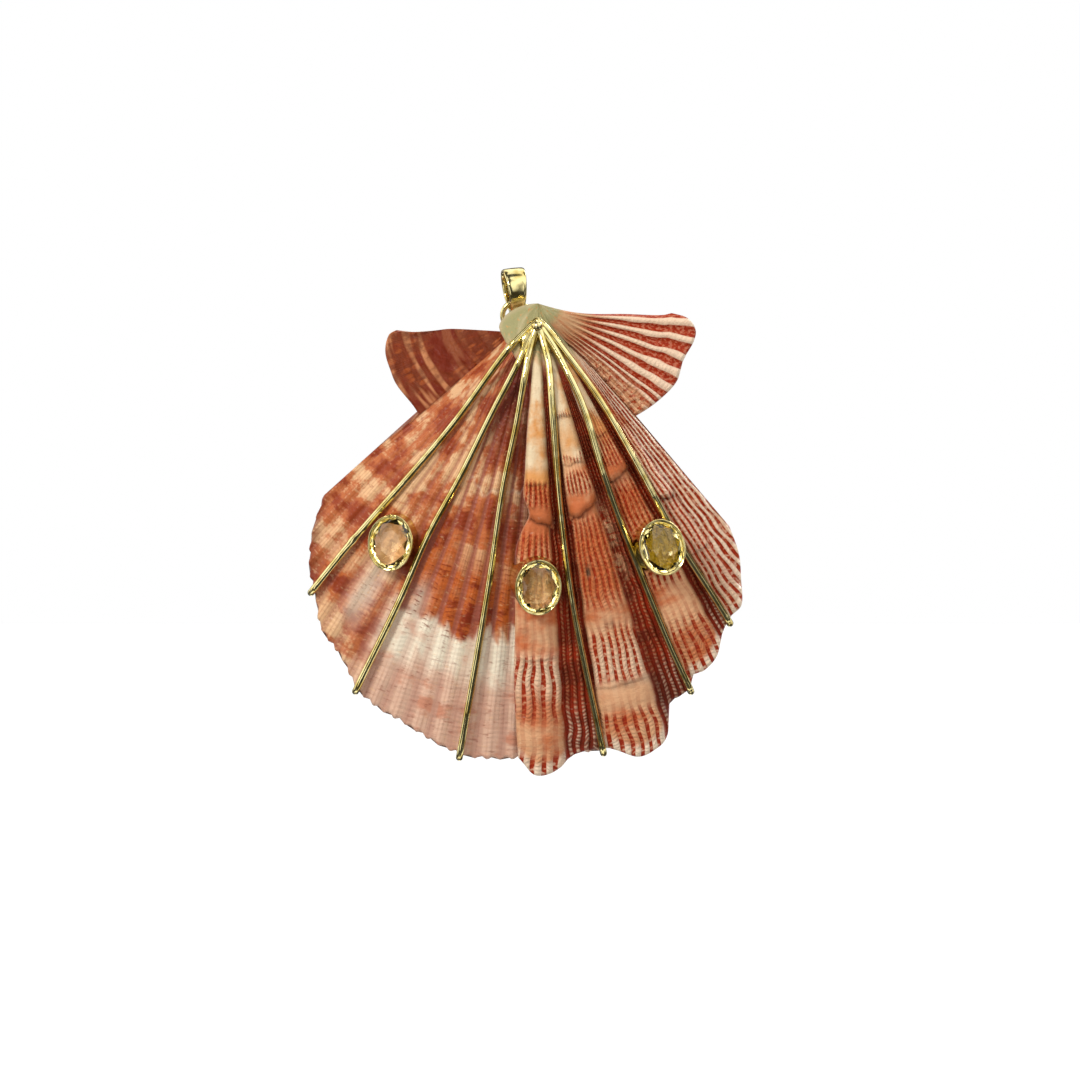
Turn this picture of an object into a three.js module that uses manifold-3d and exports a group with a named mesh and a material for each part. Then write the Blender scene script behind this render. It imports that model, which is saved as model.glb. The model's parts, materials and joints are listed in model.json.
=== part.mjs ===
// A gold-mounted shell pendant: two half scallop shells, one lapped over the other, under
// a fan of six gold wires that carries three bezel-set citrines, with a ring and a bail.
// Millimetres, +Z up. The face looks along -Y. The origin is the middle of the bail's
// opening, where the chain runs.
import * as THREE from "three";
import { mergeVertices } from "three/addons/utils/BufferGeometryUtils.js";
import Module from "manifold-3d";

const wasm = await Module();
wasm.setup();

// The ribs of both shells spread from this point, at the top edge of the beak.
const BEAK = { x: 4.7, z: -4.5 };
// The pendant swings on this line: the middle of the ring's wire, at its top.
const HINGE = { x: 0.4, z: -4.15 };
// "Lift" is a height above the plane of the shells' rims, towards the viewer.
const RING_LIFT = 2.2;
// The pendant leans back this much for each mm down, so its weight hangs under the ring.
const LEAN = 0.093;
const GAP = 0.3;

const RIGHT = { crown: 14, beakThick: 2.6, rimThick: 1.4, cut: -4.5, seam: 40.8, earTop: 86.1 };
const LEFT = { crown: 11.5, thick: 1.5, sunk: 0.9, seam: -48.3, earTop: -79.5, earTopLift: 1.2 };
const EAR_STEP = 0.8;
const WIRE_RADIUS = 0.7;
const RING = { x: 0.4, z: -6.8, radius: 2.65, wire: 0.5 };
const BAIL = {
  top: 3.3, bottom: 1.5, topZ: -1.45, thick: 0.65,
  widthTop: 4.3, widthBottom: 2.9, yaw: 8.7, roll: 6,
};
const PIN = { x: 4.6, z: -9.05, ball: 1.05, shank: 0.6, foot: 1.2, bore: 0.95 };
const PLATE_THICK = 1;
const PLATE_GAP = 0.75;
const BEZEL = { halfWidth: 4.6, halfLength: 5.6, wall: 0.45, lip: 0.8, ledge: 1.2, height: 3.1 };
const STONE = { halfWidth: 3.85, halfLength: 4.8, pavilion: 1.5, crown: 0.95, table: 0.6 };
const SEAT = 1.75;

const GOLD = { color: 0xd8b75c, roughness: 0.22, metalness: 1 };
const CORAL = { color: 0xc9735a, roughness: 0.6, metalness: 0 };
const BRICK = { color: 0xb98878, roughness: 0.5, metalness: 0 };
const CITRINE = { color: 0xe8d98a, roughness: 0.05, metalness: 0, transparent: true, opacity: 0.5 };

const radians = THREE.MathUtils.degToRad;
const degrees = THREE.MathUtils.radToDeg;

// A smooth curve through [at, value] points, as a function of at.
function through(points) {
  const last = points.length - 1;
  const slope = (a, b) => (points[b][1] - points[a][1]) / (points[b][0] - points[a][0]);
  return (at) => {
    if (at <= points[0][0]) return points[0][1];
    if (at >= points[last][0]) return points[last][1];
    const i = points.findLastIndex(([start]) => start <= at);
    const width = points[i + 1][0] - points[i][0];
    const t = (at - points[i][0]) / width;
    const from = slope(Math.max(i - 1, 0), i + 1) * width;
    const to = slope(i, Math.min(i + 2, last)) * width;
    const [a, b] = [points[i][1], points[i + 1][1]];
    const bend = (3 * (b - a) - 2 * from - to) * t ** 2;
    const twist = (2 * (a - b) + from + to) * t ** 3;
    return a + from * t + bend + twist;
  };
}

// Distance from the beak to the rim, by angle from straight down, to the right.
const rightRim = through([
  [-4.5, 89.6], [-2.2, 92.7], [0.5, 93], [2.7, 91.6], [4.3, 89.4], [8.5, 88.6], [10.1, 89.5],
  [12.4, 91.5], [14.5, 91.1], [16.8, 88.8], [18.2, 83.2], [20, 82.3], [21.7, 81.4],
  [22.6, 79.4], [24.4, 79.4], [27, 77.9], [29.4, 74.4], [31.8, 72.4], [34.2, 71.6],
  [36.5, 67.5], [39, 63], [40.8, 57.8],
]);
const rightEarRim = through([
  [41.3, 29.3], [52.8, 30.6], [61, 31.3], [69, 30.7], [77, 31.6], [81, 31.4], [85, 29.3], [86.1, 26.4],
]);
const leftRim = through([
  [-48.3, 56.5], [-44.4, 63.9], [-40.7, 69.1], [-36.8, 73], [-34.3, 76.5], [-28.8, 80],
  [-25.5, 83.6], [-22.4, 85.4], [-17.7, 86.8], [-11.4, 89.6], [-7.6, 90.3], [2.5, 88.8],
]);
const leftEarRim = through([
  [-79.5, 29.2], [-72.9, 31.5], [-66, 31.9], [-61.9, 32.1], [-53.3, 31.7], [-48.6, 32],
]);
// How far each side's edge turns from its straight line, by distance from the beak.
const cutTurn = through([
  [0, -85.5], [5.3, -70.5], [8, -60], [9.1, -52.5], [9.6, -40], [11.4, -19.5], [15.9, -2.9],
  [24.6, -0.5], [37, 0.2], [41.4, 2.3], [47.8, -0.5], [61.4, 0.3], [89.6, 2],
]);
const topTurn = through([[0, -13], [5.5, -10.6], [15.7, -3.3], [24.5, -1.2], [26.4, 0]]);
const seamTurn = through([[9, 6], [19.5, 2.8], [26.6, 2.9], [33, 1.7], [37.6, 1.3], [43, 0]]);
const SEAM_REACH = 25;

// A domed profile from the beak, 0, to the rim, 1, with its crown a third of the way down.
const dome = (s, beak) => ((1 - (1 - beak) * Math.exp(-s / 0.15)) * (1 - s ** 2.3)) / 0.85;

const rightRibs = [
  { at: -0.6, half: 4.3, high: 2.2 }, { at: 12.5, half: 4.3, high: 2.2 },
  { at: 24.9, half: 3.9, high: 1.9 }, { at: 33.4, half: 2.5, high: 1.3 },
];

const right = {
  angles: [
    -4.5, -3.6, -0.6, 2.4, 3.7, 5.9, 8.2, 9.4, 12.5, 15.6, 16.8, 18.8, 21, 22, 24.9, 27.8, 28.8,
    30, 31, 33.4, 35.6, 37.5, 39.3, 40.8, 41.3, 44, 50, 57, 64, 71, 77, 82, 86.1,
  ],
  steps: [0, 0.03, 0.06, 0.1, 0.15, 0.21, 0.28, 0.36, 0.44, 0.52, 0.6, 0.68, 0.76, 0.84, 0.9, 0.95, 1],
  start: () => 0,
  rim: (angle) => (angle > RIGHT.seam + 0.01 ? rightEarRim(angle) : rightRim(angle)),
  turned(angle, r) {
    const across = (angle - RIGHT.cut) / (RIGHT.earTop - RIGHT.cut);
    return angle + cutTurn(r) * (1 - across) ** 3 + topTurn(r) * across ** 3;
  },
  disc(angle, s, r, turned) {
    const outward = angle > 0 ? 0.7 * (angle / RIGHT.seam) ** 3 : 0;
    const beakSide = turned < -5 ? 0.55 * ((-5 - turned) / 60) : 0;
    const fade = 1 - Math.exp(-((r / 7) ** 2));
    const swell = RIGHT.crown * dome(s, 0.36) * (1 - (outward + beakSide) * fade);
    const relief = rightRibs.reduce((sum, rib) => {
      const off = Math.abs(angle - rib.at) / rib.half;
      return sum + (off < 1 ? rib.high * (1 - off ** 4) : 0);
    }, 0);
    return swell + relief * Math.min(1, r / 35);
  },
  lift(angle, s) {
    const r = s * this.rim(angle);
    if (angle <= RIGHT.seam + 0.01) return this.disc(angle, s, r, this.turned(angle, r));
    const t = (angle - RIGHT.seam) / (RIGHT.earTop - RIGHT.seam);
    const side = this.disc(RIGHT.seam, r / rightRim(RIGHT.seam), r, RIGHT.seam);
    const top = 1.8 + 4.1 * Math.exp(-((r / 9) ** 2));
    return THREE.MathUtils.lerp(side - EAR_STEP * Math.min(1, r / 12), top, t);
  },
  thickness(s) {
    const body = THREE.MathUtils.lerp(RIGHT.beakThick, RIGHT.rimThick, Math.min(1, s / 0.3));
    return s < 0.02 ? body / 2 : body;
  },
};

const left = {
  angles: [
    -79.5, -76, -72, -66, -60, -54, -48.6, -48.3, -45, -41, -37, -33, -29, -25, -21, -17, -13,
    -9, -5, -1, 2.5,
  ],
  steps: [0, 0.06, 0.12, 0.2, 0.28, 0.36, 0.44, 0.52, 0.6, 0.68, 0.76, 0.84, 0.91, 0.96, 1],
  start: (angle) => Math.max(8.9, (angle < -76 ? 5.5 : 4.9) / Math.cos(radians(angle))),
  rim: (angle) => (angle < LEFT.seam - 0.01 ? leftEarRim(angle) : leftRim(angle)),
  turned(angle, r) {
    const nearSeam = Math.max(0, 1 - Math.abs(angle - LEFT.seam) / SEAM_REACH);
    return angle + seamTurn(r) * nearSeam;
  },
  disc(angle, s) {
    const outward = 0.68 * Math.min(1, Math.abs(angle / LEFT.seam)) ** 2.6;
    return LEFT.crown * dome(s, 0.3) * (1 - outward) - LEFT.sunk;
  },
  lift(angle, s) {
    if (angle >= LEFT.seam - 0.01) return this.disc(angle, s);
    const r = s * this.rim(angle);
    const t = (angle - LEFT.seam) / (LEFT.earTop - LEFT.seam);
    return THREE.MathUtils.lerp(this.disc(LEFT.seam, r / leftRim(LEFT.seam)) - EAR_STEP, LEFT.earTopLift, t);
  },
  thickness: () => LEFT.thick,
};

// A point in front view with its lift becomes a point in space.
function place(x, z, lift) {
  return new THREE.Vector3(x, RING_LIFT - lift + LEAN * (HINGE.z - z), z);
}

function fromBeak(turned, r) {
  return { x: BEAK.x + r * Math.sin(radians(turned)), z: BEAK.z - r * Math.cos(radians(turned)) };
}

// Closes two facing grids of points, front and back, into one solid sheet.
function closedSheet(rows, columns, point) {
  const places = [];
  const corners = [];
  const known = new Map();
  const corner = (i, j, side) => {
    const p = point(i, j, side);
    const key = p.toArray().map((v) => v.toFixed(4)).join();
    if (!known.has(key)) {
      known.set(key, places.length / 3);
      places.push(p.x, p.y, p.z);
    }
    return known.get(key);
  };
  const triangle = (a, b, c) => {
    if (a !== b && b !== c && c !== a) corners.push(a, b, c);
  };
  const quad = (a, b, c, d) => {
    triangle(a, b, c);
    triangle(a, c, d);
  };
  const lastRow = rows - 1;
  const lastColumn = columns - 1;
  for (let i = 0; i < lastRow; i++) {
    for (let j = 0; j < lastColumn; j++) {
      quad(corner(i, j, 0), corner(i + 1, j, 0), corner(i + 1, j + 1, 0), corner(i, j + 1, 0));
      quad(corner(i, j, 1), corner(i, j + 1, 1), corner(i + 1, j + 1, 1), corner(i + 1, j, 1));
    }
    quad(corner(i, 0, 0), corner(i, 0, 1), corner(i + 1, 0, 1), corner(i + 1, 0, 0));
    quad(
      corner(i, lastColumn, 1), corner(i, lastColumn, 0),
      corner(i + 1, lastColumn, 0), corner(i + 1, lastColumn, 1),
    );
  }
  for (let j = 0; j < lastColumn; j++) {
    quad(corner(0, j, 1), corner(0, j, 0), corner(0, j + 1, 0), corner(0, j + 1, 1));
    quad(
      corner(lastRow, j, 0), corner(lastRow, j, 1),
      corner(lastRow, j + 1, 1), corner(lastRow, j + 1, 0),
    );
  }
  return outward(places, corners);
}

function outward(places, corners) {
  let volume = 0;
  const at = (k) => new THREE.Vector3().fromArray(places, 3 * k);
  for (let k = 0; k < corners.length; k += 3) {
    volume += at(corners[k]).dot(at(corners[k + 1]).cross(at(corners[k + 2])));
  }
  if (volume < 0) corners.reverse();
  const geometry = new THREE.BufferGeometry();
  geometry.setAttribute("position", new THREE.Float32BufferAttribute(places, 3));
  geometry.setIndex(corners);
  return geometry;
}

function valve(shell) {
  return closedSheet(shell.steps.length, shell.angles.length, (i, j, side) => {
    const angle = shell.angles[j];
    const start = shell.start(angle);
    const r = THREE.MathUtils.lerp(start, shell.rim(angle), shell.steps[i]);
    const s = r / shell.rim(angle);
    const { x, z } = fromBeak(shell.turned(angle, r), r);
    return place(x, z, shell.lift(angle, s) - side * shell.thickness(s));
  });
}

// The lift of a shell's front under a point in front view, or null beside the shell.
function liftOn(shell, x, z) {
  const r = Math.hypot(x - BEAK.x, z - BEAK.z);
  const wanted = degrees(Math.atan2(x - BEAK.x, BEAK.z - z));
  let low = Math.min(shell.angles[0], shell.angles.at(-1));
  let high = Math.max(shell.angles[0], shell.angles.at(-1));
  if (wanted < shell.turned(low, r) || wanted > shell.turned(high, r)) return null;
  for (let k = 0; k < 20; k++) {
    const middle = (low + high) / 2;
    if (shell.turned(middle, r) < wanted) low = middle;
    else high = middle;
  }
  const rim = shell.rim(low);
  return r > rim || r < shell.start(low) ? null : shell.lift(low, r / rim);
}

function topLift(x, z) {
  return liftOn(right, x, z) ?? liftOn(left, x, z);
}

// The highest lift under a wire's width, which runs mostly downwards.
function liftUnderWire(x, z) {
  const side = WIRE_RADIUS + GAP;
  return Math.max(topLift(x, z), topLift(x - side, z) ?? 0, topLift(x + side, z) ?? 0);
}

// A round bar along a row of points, closed at both ends.
function bar(points, radius, sides = 7) {
  const tangents = points.map((_, i) => {
    const after = points[Math.min(i + 1, points.length - 1)];
    return new THREE.Vector3().subVectors(after, points[Math.max(i - 1, 0)]).normalize();
  });
  const normal = new THREE.Vector3(1, 0, 0).addScaledVector(tangents[0], -tangents[0].x).normalize();
  const places = [];
  const corners = [];
  points.forEach((p, i) => {
    normal.addScaledVector(tangents[i], -normal.dot(tangents[i])).normalize();
    const other = new THREE.Vector3().crossVectors(tangents[i], normal);
    for (let k = 0; k < sides; k++) {
      const turn = (2 * Math.PI * k) / sides;
      const v = p.clone();
      v.addScaledVector(normal, radius * Math.cos(turn)).addScaledVector(other, radius * Math.sin(turn));
      places.push(...v.toArray());
    }
  });
  const end = (points.length - 1) * sides;
  for (let k = 0; k < sides; k++) {
    const next = (k + 1) % sides;
    for (let i = 0; i < end; i += sides) {
      corners.push(i + k, i + next, i + sides + next, i + k, i + sides + next, i + sides + k);
    }
    if (k > 0 && next > 0) corners.push(0, next, k, end, end + k, end + next);
  }
  return outward(places, corners);
}

// Front-view routes of the wires, from the apex plate to just inside the rim.
const WIRES = [
  [[-1.6, -13.9], [-11.6, -27.8], [-19.5, -37.2], [-31.7, -51], [-40.1, -61.3]],
  [[0.7, -16.6], [-4.1, -25.8], [-10.2, -38], [-16.9, -50.2], [-22.4, -62.6], [-30.4, -78.9]],
  [[2.5, -16.6], [0.6, -27.8], [-2.2, -41.3], [-4.7, -58.3], [-7.3, -74], [-10.5, -92]],
  [[6.8, -16.6], [7.7, -27.8], [9.05, -44.7], [11.4, -62.8], [13.8, -75.2], [17.4, -91.9]],
  [[9.7, -16.6], [13.6, -25], [17.5, -38], [23, -53], [30.3, -70.9], [34.6, -80.2]],
  [[10.7, -14.8], [16.9, -23.6], [23.6, -35.2], [32.3, -51.2], [39.6, -62.6], [42.9, -67.9]],
];
const WIRE_STEPS = 15;
const HOOK = { past: 2.5, under: 3.5, drop: 0.9 };

// The wire lies taut over the shells, then turns round the rim and grips the back.
function wirePath(route) {
  const flat = new THREE.CatmullRomCurve3(route.map(([x, z]) => new THREE.Vector3(x, 0, z)));
  const spots = flat.getPoints(WIRE_STEPS);
  const clear = WIRE_RADIUS + GAP + 0.15;
  const lifts = spots.map(({ x, z }) => liftUnderWire(x, z) + clear);
  const taut = spots.map((spot, i) => {
    let best = lifts[i];
    for (let a = 0; a < i; a++) {
      for (let b = i + 1; b < spots.length; b++) {
        best = Math.max(best, lifts[a] + ((lifts[b] - lifts[a]) * (i - a)) / (b - a));
      }
    }
    return place(spot.x, spot.z, best);
  });
  const rim = spots.at(-1);
  const out = new THREE.Vector3().subVectors(rim, spots.at(-2)).normalize();
  const onRim = lifts.at(-1) - clear;
  const thick = rim.x > 5 ? RIGHT.rimThick : LEFT.thick;
  const under = (back) => {
    const p = rim.clone().addScaledVector(out, -back);
    return place(p.x, p.z, Math.min(topLift(p.x, p.z), onRim) - thick - clear - HOOK.drop);
  };
  const past = (reach, lift) => place(rim.x + out.x * reach, rim.z + out.z * reach, lift);
  return [
    ...taut,
    past(HOOK.past - 0.5, onRim + 0.6),
    past(HOOK.past, onRim - thick / 2),
    past(HOOK.past - 0.4, onRim - thick - 1.2),
    under(0.2),
    under(HOOK.under),
  ];
}

function solidOf(geometry) {
  const bare = geometry.clone();
  bare.deleteAttribute("normal");
  bare.deleteAttribute("uv");
  const merged = mergeVertices(bare, 1e-4);
  return new wasm.Manifold(
    new wasm.Mesh({
      numProp: 3,
      vertProperties: merged.attributes.position.array,
      triVerts: new Uint32Array(merged.index.array),
    }),
  );
}

// Drills a straight hole for the pin through a piece.
function drilled(geometry, radius) {
  const drill = new THREE.CylinderGeometry(radius, radius, 40, 16);
  drill.translate(PIN.x, 0, PIN.z);
  const mesh = solidOf(geometry).subtract(solidOf(drill)).getMesh();
  const made = new THREE.BufferGeometry();
  made.setAttribute("position", new THREE.BufferAttribute(mesh.vertProperties, 3));
  made.setIndex(new THREE.BufferAttribute(mesh.triVerts, 1));
  return made;
}

// The web that joins the wires' upper ends, lying on the beak.
function apexPlate() {
  const leftSide = through([[0, 3.4], [0.6, -0.4], [1, 1]]);
  const rightSide = through([[0, 5.9], [0.5, 8.2], [1, 9]]);
  const rows = 7;
  const columns = 7;
  return closedSheet(rows, columns, (i, j, side) => {
    const down = i / (rows - 1);
    const x = THREE.MathUtils.lerp(leftSide(down), rightSide(down), j / (columns - 1));
    const z = THREE.MathUtils.lerp(-7.3, -15.6, down);
    return place(x, z, topLift(x, z) + PLATE_GAP + (1 - side) * PLATE_THICK);
  });
}

function pin() {
  const under = topLift(PIN.x, PIN.z) + PLATE_GAP + PLATE_THICK;
  const centre = under + GAP + PIN.ball;
  const [footEnd, footTop] = [RING_LIFT - 0.5, RING_LIFT + 0.4];
  const profile = [[0, footEnd], [PIN.foot, footEnd], [PIN.foot, footTop], [PIN.shank, footTop]];
  const arc = 8;
  const neck = Math.asin(PIN.shank / PIN.ball);
  for (let k = 0; k < arc; k++) {
    const turn = (Math.PI - neck) * (1 - k / arc);
    profile.push([PIN.ball * Math.sin(turn), centre + PIN.ball * Math.cos(turn)]);
  }
  profile.push([0, centre + PIN.ball]);
  const geometry = new THREE.LatheGeometry(profile.map(([x, y]) => new THREE.Vector2(x, y)), 16);
  geometry.rotateX(Math.PI);
  const base = place(PIN.x, PIN.z, 0);
  geometry.translate(base.x, base.y, base.z);
  return geometry;
}

// An oval cup that holds a stone: wall, ledge under the girdle and turned-in lip.
function bezel() {
  const { halfWidth: w, halfLength: l, wall, lip, ledge, height } = BEZEL;
  const profile = [
    [w - ledge, 0], [w, 0], [w, height - 0.3], [w - 0.25, height], [w - lip, height - 0.15],
    [w - wall, height - 0.7], [w - wall, SEAT - 0.25], [w - ledge, SEAT - 0.35], [w - ledge, 0],
  ];
  const ring = new THREE.LatheGeometry(profile.map(([x, y]) => new THREE.Vector2(x, y)), 26);
  return ring.scale(1, 1, l / w);
}

function stone() {
  const { halfWidth: w, halfLength: l, pavilion, crown, table } = STONE;
  const profile = [[0, -pavilion], [w, -0.1], [w, 0.1], [w * table, crown], [0, crown]];
  const cut = new THREE.LatheGeometry(profile.map(([x, y]) => new THREE.Vector2(x, y)), 16);
  return cut.scale(1, 1, l / w).translate(0, SEAT, 0);
}

const SETTINGS = [
  { x: -23.4, z: -51.3, turn: 12, raised: 0 },
  { x: 4.4, z: -59.6, turn: -1, raised: 0 },
  { x: 28.0, z: -52.3, turn: -17, raised: 1 },
];

// A frame standing square on the shell: its own +Y points out, and its length runs down.
function setting({ x, z, turn, raised }) {
  const reach = 3.5;
  const here = (dx, dz) => place(x + dx, z + dz, topLift(x + dx, z + dz));
  const across = new THREE.Vector3().subVectors(here(reach, 0), here(-reach, 0)).normalize();
  const down = new THREE.Vector3().subVectors(here(0, -reach), here(0, reach));
  const out = new THREE.Vector3().crossVectors(across, down).normalize();
  if (out.y > 0) out.negate();
  down.crossVectors(across, out).normalize();
  if (down.z > 0) down.negate();
  across.crossVectors(out, down).normalize();
  const centre = here(0, 0);
  let stand = 0;
  for (let k = 0; k < 24; k++) {
    const angle = (2 * Math.PI * k) / 24;
    for (const share of [0.6, 1]) {
      const dx = share * BEZEL.halfWidth * Math.cos(angle);
      const dz = share * BEZEL.halfLength * Math.sin(angle);
      stand = Math.max(stand, here(dx, dz).sub(centre).dot(out));
    }
  }
  const group = new THREE.Group();
  group.matrixAutoUpdate = false;
  group.matrix.makeBasis(across, out, down);
  group.matrix.multiply(new THREE.Matrix4().makeRotationY(radians(turn)));
  group.matrix.setPosition(centre.addScaledVector(out, stand + raised + GAP));
  return group;
}

function ring() {
  const geometry = new THREE.TorusGeometry(RING.radius, RING.wire, 8, 28);
  geometry.rotateX(Math.PI / 2 + Math.atan(LEAN));
  const centre = place(RING.x, RING.z, RING_LIFT);
  return geometry.translate(centre.x, centre.y, centre.z);
}

const UPPER_STEPS = 22;
const LOWER_STEPS = 8;

// The bail's strap is bent round two circles, a wide one above and a small one below.
function bail() {
  const height = BAIL.topZ - HINGE.z;
  const swap = Math.PI / 2 + Math.asin((BAIL.top - BAIL.bottom) / height);
  const turns = [];
  for (let k = 0; k <= UPPER_STEPS; k++) turns.push(-swap + (2 * swap * k) / UPPER_STEPS);
  for (let k = 0; k <= LOWER_STEPS; k++) turns.push(swap + (2 * (Math.PI - swap) * k) / LOWER_STEPS);
  const strap = (i, j, side) => {
    const turn = turns[i];
    const upper = i <= UPPER_STEPS;
    const radius = (upper ? BAIL.top : BAIL.bottom) + side * BAIL.thick;
    const z = (upper ? height : 0) + radius * Math.cos(turn);
    const share = THREE.MathUtils.clamp((z + BAIL.bottom) / (height + BAIL.top + BAIL.bottom), 0, 1);
    const width = THREE.MathUtils.lerp(BAIL.widthBottom, BAIL.widthTop, share);
    return new THREE.Vector3((j - 0.5) * width, radius * Math.sin(turn), z);
  };
  const places = [];
  const corners = [];
  const count = turns.length;
  for (let i = 0; i < count; i++) {
    for (const [j, side] of [[0, 0], [1, 0], [1, 1], [0, 1]]) {
      places.push(...strap(i, j, side).toArray());
    }
    const here = 4 * i;
    const next = 4 * ((i + 1) % count);
    for (let k = 0; k < 4; k++) {
      const after = (k + 1) % 4;
      corners.push(here + k, here + after, next + after, here + k, next + after, next + k);
    }
  }
  return outward(places, corners);
}

const pendant = new THREE.Group();

function add(name, geometry, finish, parent = pendant) {
  const mesh = new THREE.Mesh(geometry, new THREE.MeshStandardMaterial(finish));
  mesh.name = name;
  parent.add(mesh);
  return mesh;
}

add("shell_left", valve(left), BRICK);
add("shell_right", drilled(valve(right), PIN.bore), CORAL);
add("apex_plate", drilled(apexPlate(), PIN.bore), GOLD);
add("pin", pin(), GOLD);
WIRES.forEach((route, i) => add(`wire_${i + 1}`, bar(wirePath(route), WIRE_RADIUS), GOLD));
SETTINGS.forEach((spot, i) => {
  const group = setting(spot);
  pendant.add(group);
  add(`bezel_${i + 1}`, bezel(), GOLD, group);
  add(`citrine_${i + 1}`, stone(), CITRINE, group);
});
add("ring", ring(), GOLD);

const loop = add("bail", bail(), GOLD);
loop.position.set(HINGE.x, 0, HINGE.z);
loop.rotation.set(0, radians(-BAIL.roll), radians(BAIL.yaw), "ZYX");

export default pendant;
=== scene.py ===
"""Looks of a shell pendant: lapped half scallops, a gold wire fan, citrines, a ring and a bail."""

import json
import logging
import math
from dataclasses import dataclass, field
from enum import Enum
from typing import Callable, Sequence

import bmesh
import bpy
import numpy as np
from mathutils import Matrix, Vector


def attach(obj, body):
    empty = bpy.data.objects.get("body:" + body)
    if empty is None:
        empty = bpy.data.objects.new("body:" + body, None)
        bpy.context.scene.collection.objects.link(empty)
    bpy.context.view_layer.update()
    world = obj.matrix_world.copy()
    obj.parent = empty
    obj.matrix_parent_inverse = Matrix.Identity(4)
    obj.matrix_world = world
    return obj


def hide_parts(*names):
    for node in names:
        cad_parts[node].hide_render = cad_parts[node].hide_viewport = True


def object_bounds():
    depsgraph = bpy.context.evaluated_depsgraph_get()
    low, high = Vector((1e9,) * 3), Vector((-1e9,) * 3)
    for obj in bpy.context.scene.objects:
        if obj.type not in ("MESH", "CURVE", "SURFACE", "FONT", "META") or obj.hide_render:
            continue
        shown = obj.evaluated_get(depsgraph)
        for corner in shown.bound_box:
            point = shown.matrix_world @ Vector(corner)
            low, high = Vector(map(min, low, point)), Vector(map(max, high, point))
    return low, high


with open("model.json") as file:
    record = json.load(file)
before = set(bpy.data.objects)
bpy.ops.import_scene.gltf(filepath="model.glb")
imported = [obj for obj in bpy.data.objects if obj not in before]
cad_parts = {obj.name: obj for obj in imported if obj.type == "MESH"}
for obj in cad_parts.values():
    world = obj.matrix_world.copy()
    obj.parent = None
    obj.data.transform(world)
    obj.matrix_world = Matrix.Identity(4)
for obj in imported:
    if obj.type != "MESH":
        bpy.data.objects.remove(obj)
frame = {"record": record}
CAD_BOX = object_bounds()

logging.basicConfig(level=logging.INFO, format="%(message)s")
log = logging.getLogger("pendant")

MM = 0.001
PENDANT = "pendant"
Array = np.ndarray
Socket = bpy.types.NodeSocket
Colour = tuple[float, float, float]

# The construction's own driving sizes, in millimetres and degrees.
BEAK_X, BEAK_Z = 4.7, -4.5
HINGE_X, HINGE_Z = (frame["record"]["behaviour"]["joints"][0]["pos_m"][i] / MM for i in (0, 2))
RING_LIFT = 2.2
LEAN = 0.093
EAR_STEP = 0.8
# Each stone: middle (x, z), turn, height above the shell, share of the lean it gives up,
# and how gold-tinted the painted shade on the shell under it is.
SETTINGS = (
    (-23.4, -51.3, -12.0, 0.0, 0.0, 0.0),
    (4.4, -59.6, 1.0, 0.0, 0.2, 0.0),
    (28.0, -52.3, 17.0, 1.0, 0.6, 1.0),
)


def srgb(red: int, green: int, blue: int) -> Colour:
    """Turns a colour of 0 to 255 steps into Blender's linear values."""
    return tuple(((v / 255 + 0.055) / 1.055) ** 2.4 if v > 10 else v / 3295 for v in (red, green, blue))


def smooth_curve(points: Sequence[tuple[float, float]]) -> Callable[[Array], Array]:
    """Makes a smooth curve through points.

    Args:
        points: (at, value) pairs, in rising order of at.

    Returns:
        A function that gives the value at any place, held level past both ends.
    """
    xs, ys = (np.array(v, dtype=float) for v in zip(*points))
    slopes = np.empty_like(xs)
    slopes[1:-1] = (ys[2:] - ys[:-2]) / (xs[2:] - xs[:-2])
    slopes[0] = (ys[1] - ys[0]) / (xs[1] - xs[0])
    slopes[-1] = (ys[-1] - ys[-2]) / (xs[-1] - xs[-2])

    def value(at: Array) -> Array:
        """Gives the curve's value."""
        at = np.clip(at, xs[0], xs[-1])
        i = np.clip(np.searchsorted(xs, at, side="right") - 1, 0, len(xs) - 2)
        width = xs[i + 1] - xs[i]
        t = (at - xs[i]) / width
        start, end = slopes[i] * width, slopes[i + 1] * width
        rise = ys[i + 1] - ys[i]
        return ys[i] + start * t + (3 * rise - 2 * start - end) * t**2 + (start + end - 2 * rise) * t**3

    return value


def step(at: Array, low: float, high: float) -> Array:
    """Rises smoothly from 0 at low to 1 at high, or falls where high is the lower."""
    t = np.clip((at - low) / (high - low), 0, 1)
    return t * t * (3 - 2 * t)


def bell(at: Array, middle: float, width: float) -> Array:
    """A smooth hump of height 1."""
    return np.exp(-(((at - middle) / width) ** 2))


def wander(x: Array, y: Array, seed: int, octaves: int = 4) -> Array:
    """Smooth seeded unevenness between about -1 and 1, made of crossing waves.

    Args:
        x: First coordinate, with features about one unit wide.
        y: Second coordinate.
        seed: Picks the waves.
        octaves: Number of finer and finer layers.

    Returns:
        The value at each point.
    """
    rng = np.random.default_rng(seed)
    total = np.zeros(np.broadcast(x, y).shape)
    for octave in range(octaves):
        scale = 2.0**octave
        for _ in range(4):
            turn, phase = rng.uniform(0, 2 * math.pi, 2)
            wave = (x * math.cos(turn) + y * math.sin(turn)) * scale * rng.uniform(0.7, 1.3) * math.pi
            total += np.sin(wave + phase) / (4 * 1.6**octave) * 1.3
    return total


def place(x: Array, z: Array, lift: Array) -> Array:
    """Turns front-view millimetres and a lift towards the viewer into metres in the frame."""
    y = RING_LIFT - lift + LEAN * (HINGE_Z - z)
    return np.stack(np.broadcast_arrays(x, y, z), axis=-1) * MM


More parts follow.
